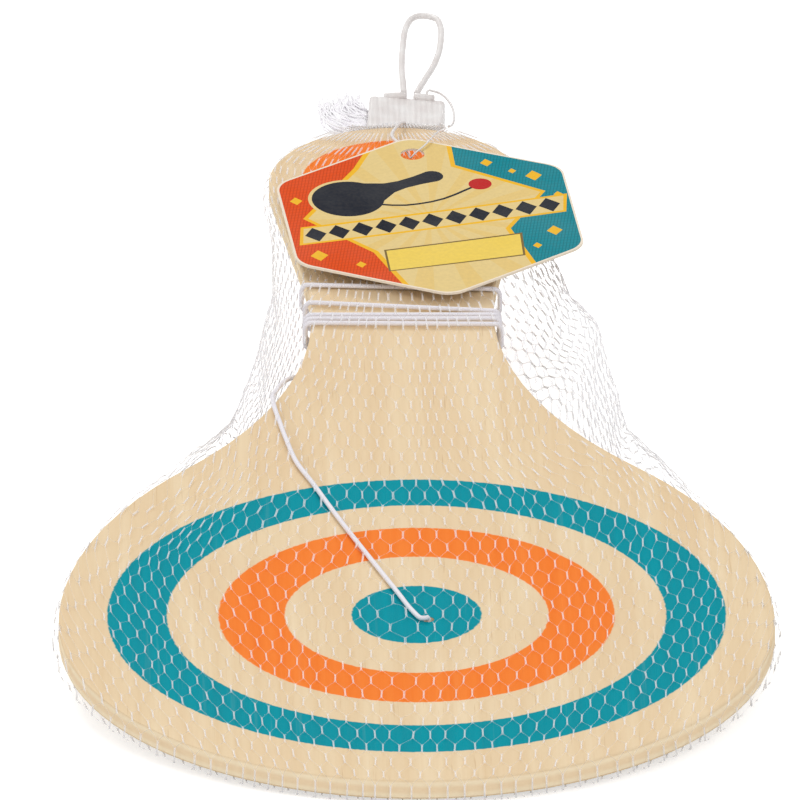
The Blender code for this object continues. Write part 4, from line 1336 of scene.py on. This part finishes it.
def clip_ring(t, inset):
    """The clip's closed section at t, from 0 at its mouth to 1 at its top."""
    left = clip_shift - clip_width / 2 - 0.0002 + 0.0008 * t + inset
    right = clip_shift + clip_width / 2 - 0.0001 + 0.0006 * t - inset
    half = clip_thick / 2 - inset
    flat = right - left - 2 * clip_round
    steps = round(clip_width / rib_pitch) * 8
    front = []
    for step in range(steps + 1):
        u = left + clip_round + flat * step / steps
        front.append((u, half + rib_relief * (math.cos(math.tau * u / rib_pitch) - 1)))
    end = []
    for angle in (60, 30, 0):
        end.append((right - clip_round * (1 - math.cos(math.radians(angle))),
                    half - clip_round * (1 - math.sin(math.radians(angle)))))
    end += [(right, clip_slit[0]), (right - clip_slit[1], 0.0), (right, -clip_slit[0])]
    end += [(u, -h) for u, h in reversed(end[:3])]
    back = [(u, -h) for u, h in reversed(front)]
    middle = (left + right) / 2
    far_end = [(2 * middle - u, -h) for u, h in end]
    points = front + end + back + far_end
    return [(u, h - t * between(*clip_sag, (u - left) / (right - left))) for u, h in points]


def make_clip(mat):
    """The folded clip: a milky sleeve with low ribs and a slit down each side."""
    bm = bmesh.new()
    rings = []
    for t, inset in clip_rows:
        v = clip_low + clip_length * t
        rings.append([bm.verts.new(on_paddle(u, v, h - clip_depth)) for u, h in clip_ring(t, inset)])
    for low, high in zip(rings, rings[1:]):
        for i, vert in enumerate(low):
            j = (i + 1) % len(low)
            bm.faces.new((vert, low[j], high[j], high[i]))
    bm.faces.new(rings[0])
    bm.faces.new(rings[-1])
    bmesh.ops.recalc_face_normals(bm, faces=bm.faces)
    mesh = mesh_from(bm, "clip_sleeve")
    mesh.shade_smooth()
    piece = new_piece("clip_sleeve", mesh, mat, "root")
    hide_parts("clip_front", "clip_back")


def make_loop(mat):
    """The hang loop: one bent strand that ends in two bars on the clip's top."""
    lines = [line_through(loop_spots, 0.0006)]
    radii = [loop_radius]
    shares, thickness = np.array(foot_shape).T
    for low, high in np.array(foot_spots) * 0.001:
        lines.append(world_line(between(low, high, shares[:, None])))
        radii.append(foot_radius * thickness)
    piece = strand_mesh("hang_loop_strand", lines, radii, 14, mat, "hang_loop")
    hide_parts("hang_loop")


tie_radius = 0.00017
tie_spots = ((8.6, 214.6, -1.5), (9.0, 212.4, 0.1), (9.4, 210.0, 1.1), (9.7, 206.5, 2.2),
             (9.7, 202.5, 3.7), (9.2, 198.6, 5.3), (8.2, 195.2, 6.5), (7.0, 192.2, 6.75),
             (5.6, 189.4, 6.5), (4.3, 187.4, 6.3), (3.4, 186.5, 5.9), (2.9, 186.5, 5.2),
             (2.6, 187.6, 4.8), (2.1, 190.0, 4.7), (1.1, 194.4, 4.2), (-0.1, 199.0, 3.2),
             (-0.5, 203.0, 2.2), (0.1, 206.6, 1.7), (1.3, 209.6, 1.5), (2.2, 212.2, 0.4), (2.5, 214.4, -1.5))
tie_widening = 0.9          # of the end that comes back out of the hole
widens_from = 0.60
stray_radius = 0.00024
stray_spots = ((6.6, 225.6, -2.4), (6.8, 227.4, -0.1), (8.0, 227.9, -0.3), (9.4, 227.3, -0.6),
               (10.8, 224.8, -0.9), (11.6, 221.0, -1.0), (11.7, 216.6, -0.9), (11.2, 212.8, -0.4),
               (10.5, 209.8, 0.75))


def make_ties(mat):
    """The tag's tie, looped through its hole from the clip, and the stray strand beside the clip."""
    line = line_through(tie_spots)
    share = np.linspace(0, 1, len(line))
    widened = tie_radius * (1 + tie_widening * np.clip((share - widens_from) / 0.1, 0, 1))
    tie = strand_mesh("tag_tie_strand", [line], [widened], 8, mat, "root")
    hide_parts("tag_tie")
    line = line_through(stray_spots)
    stray = strand_mesh("stray_strand", [line], [stray_radius], 8, mat, "root")
    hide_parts("loose_strand")


def dress(mat, *nodes):
    """Gives CAD nodes that are shown their material."""
    for name in nodes:
        node = frame["nodes"][name]
        for slot_at in node.material_slots:
            slot_at.material = mat


def main():
    bpy.context.scene.view_settings.view_transform = "Standard"
    make_camera()
    string_mat = elastic()
    make_string(string_mat)
    make_world()
    make_floor()
    make_light()
    net_mat = net_plastic("net_thread", node_opacity, net_tint)
    tail_mat = net_plastic("net_bunched", tail_opacity, lit_tail_tint)
    clip_mat = milky_plastic()
    dress(plywood(), "paddle")
    dress(red_rubber(), "ball")
    dress(string_mat, "paddle_knot", "ball_knot")
    make_tag()
    make_net(net_mat)
    make_tail(tail_mat)
    make_clip(clip_mat)
    make_loop(clip_mat)
    make_ties(clip_mat)


main()
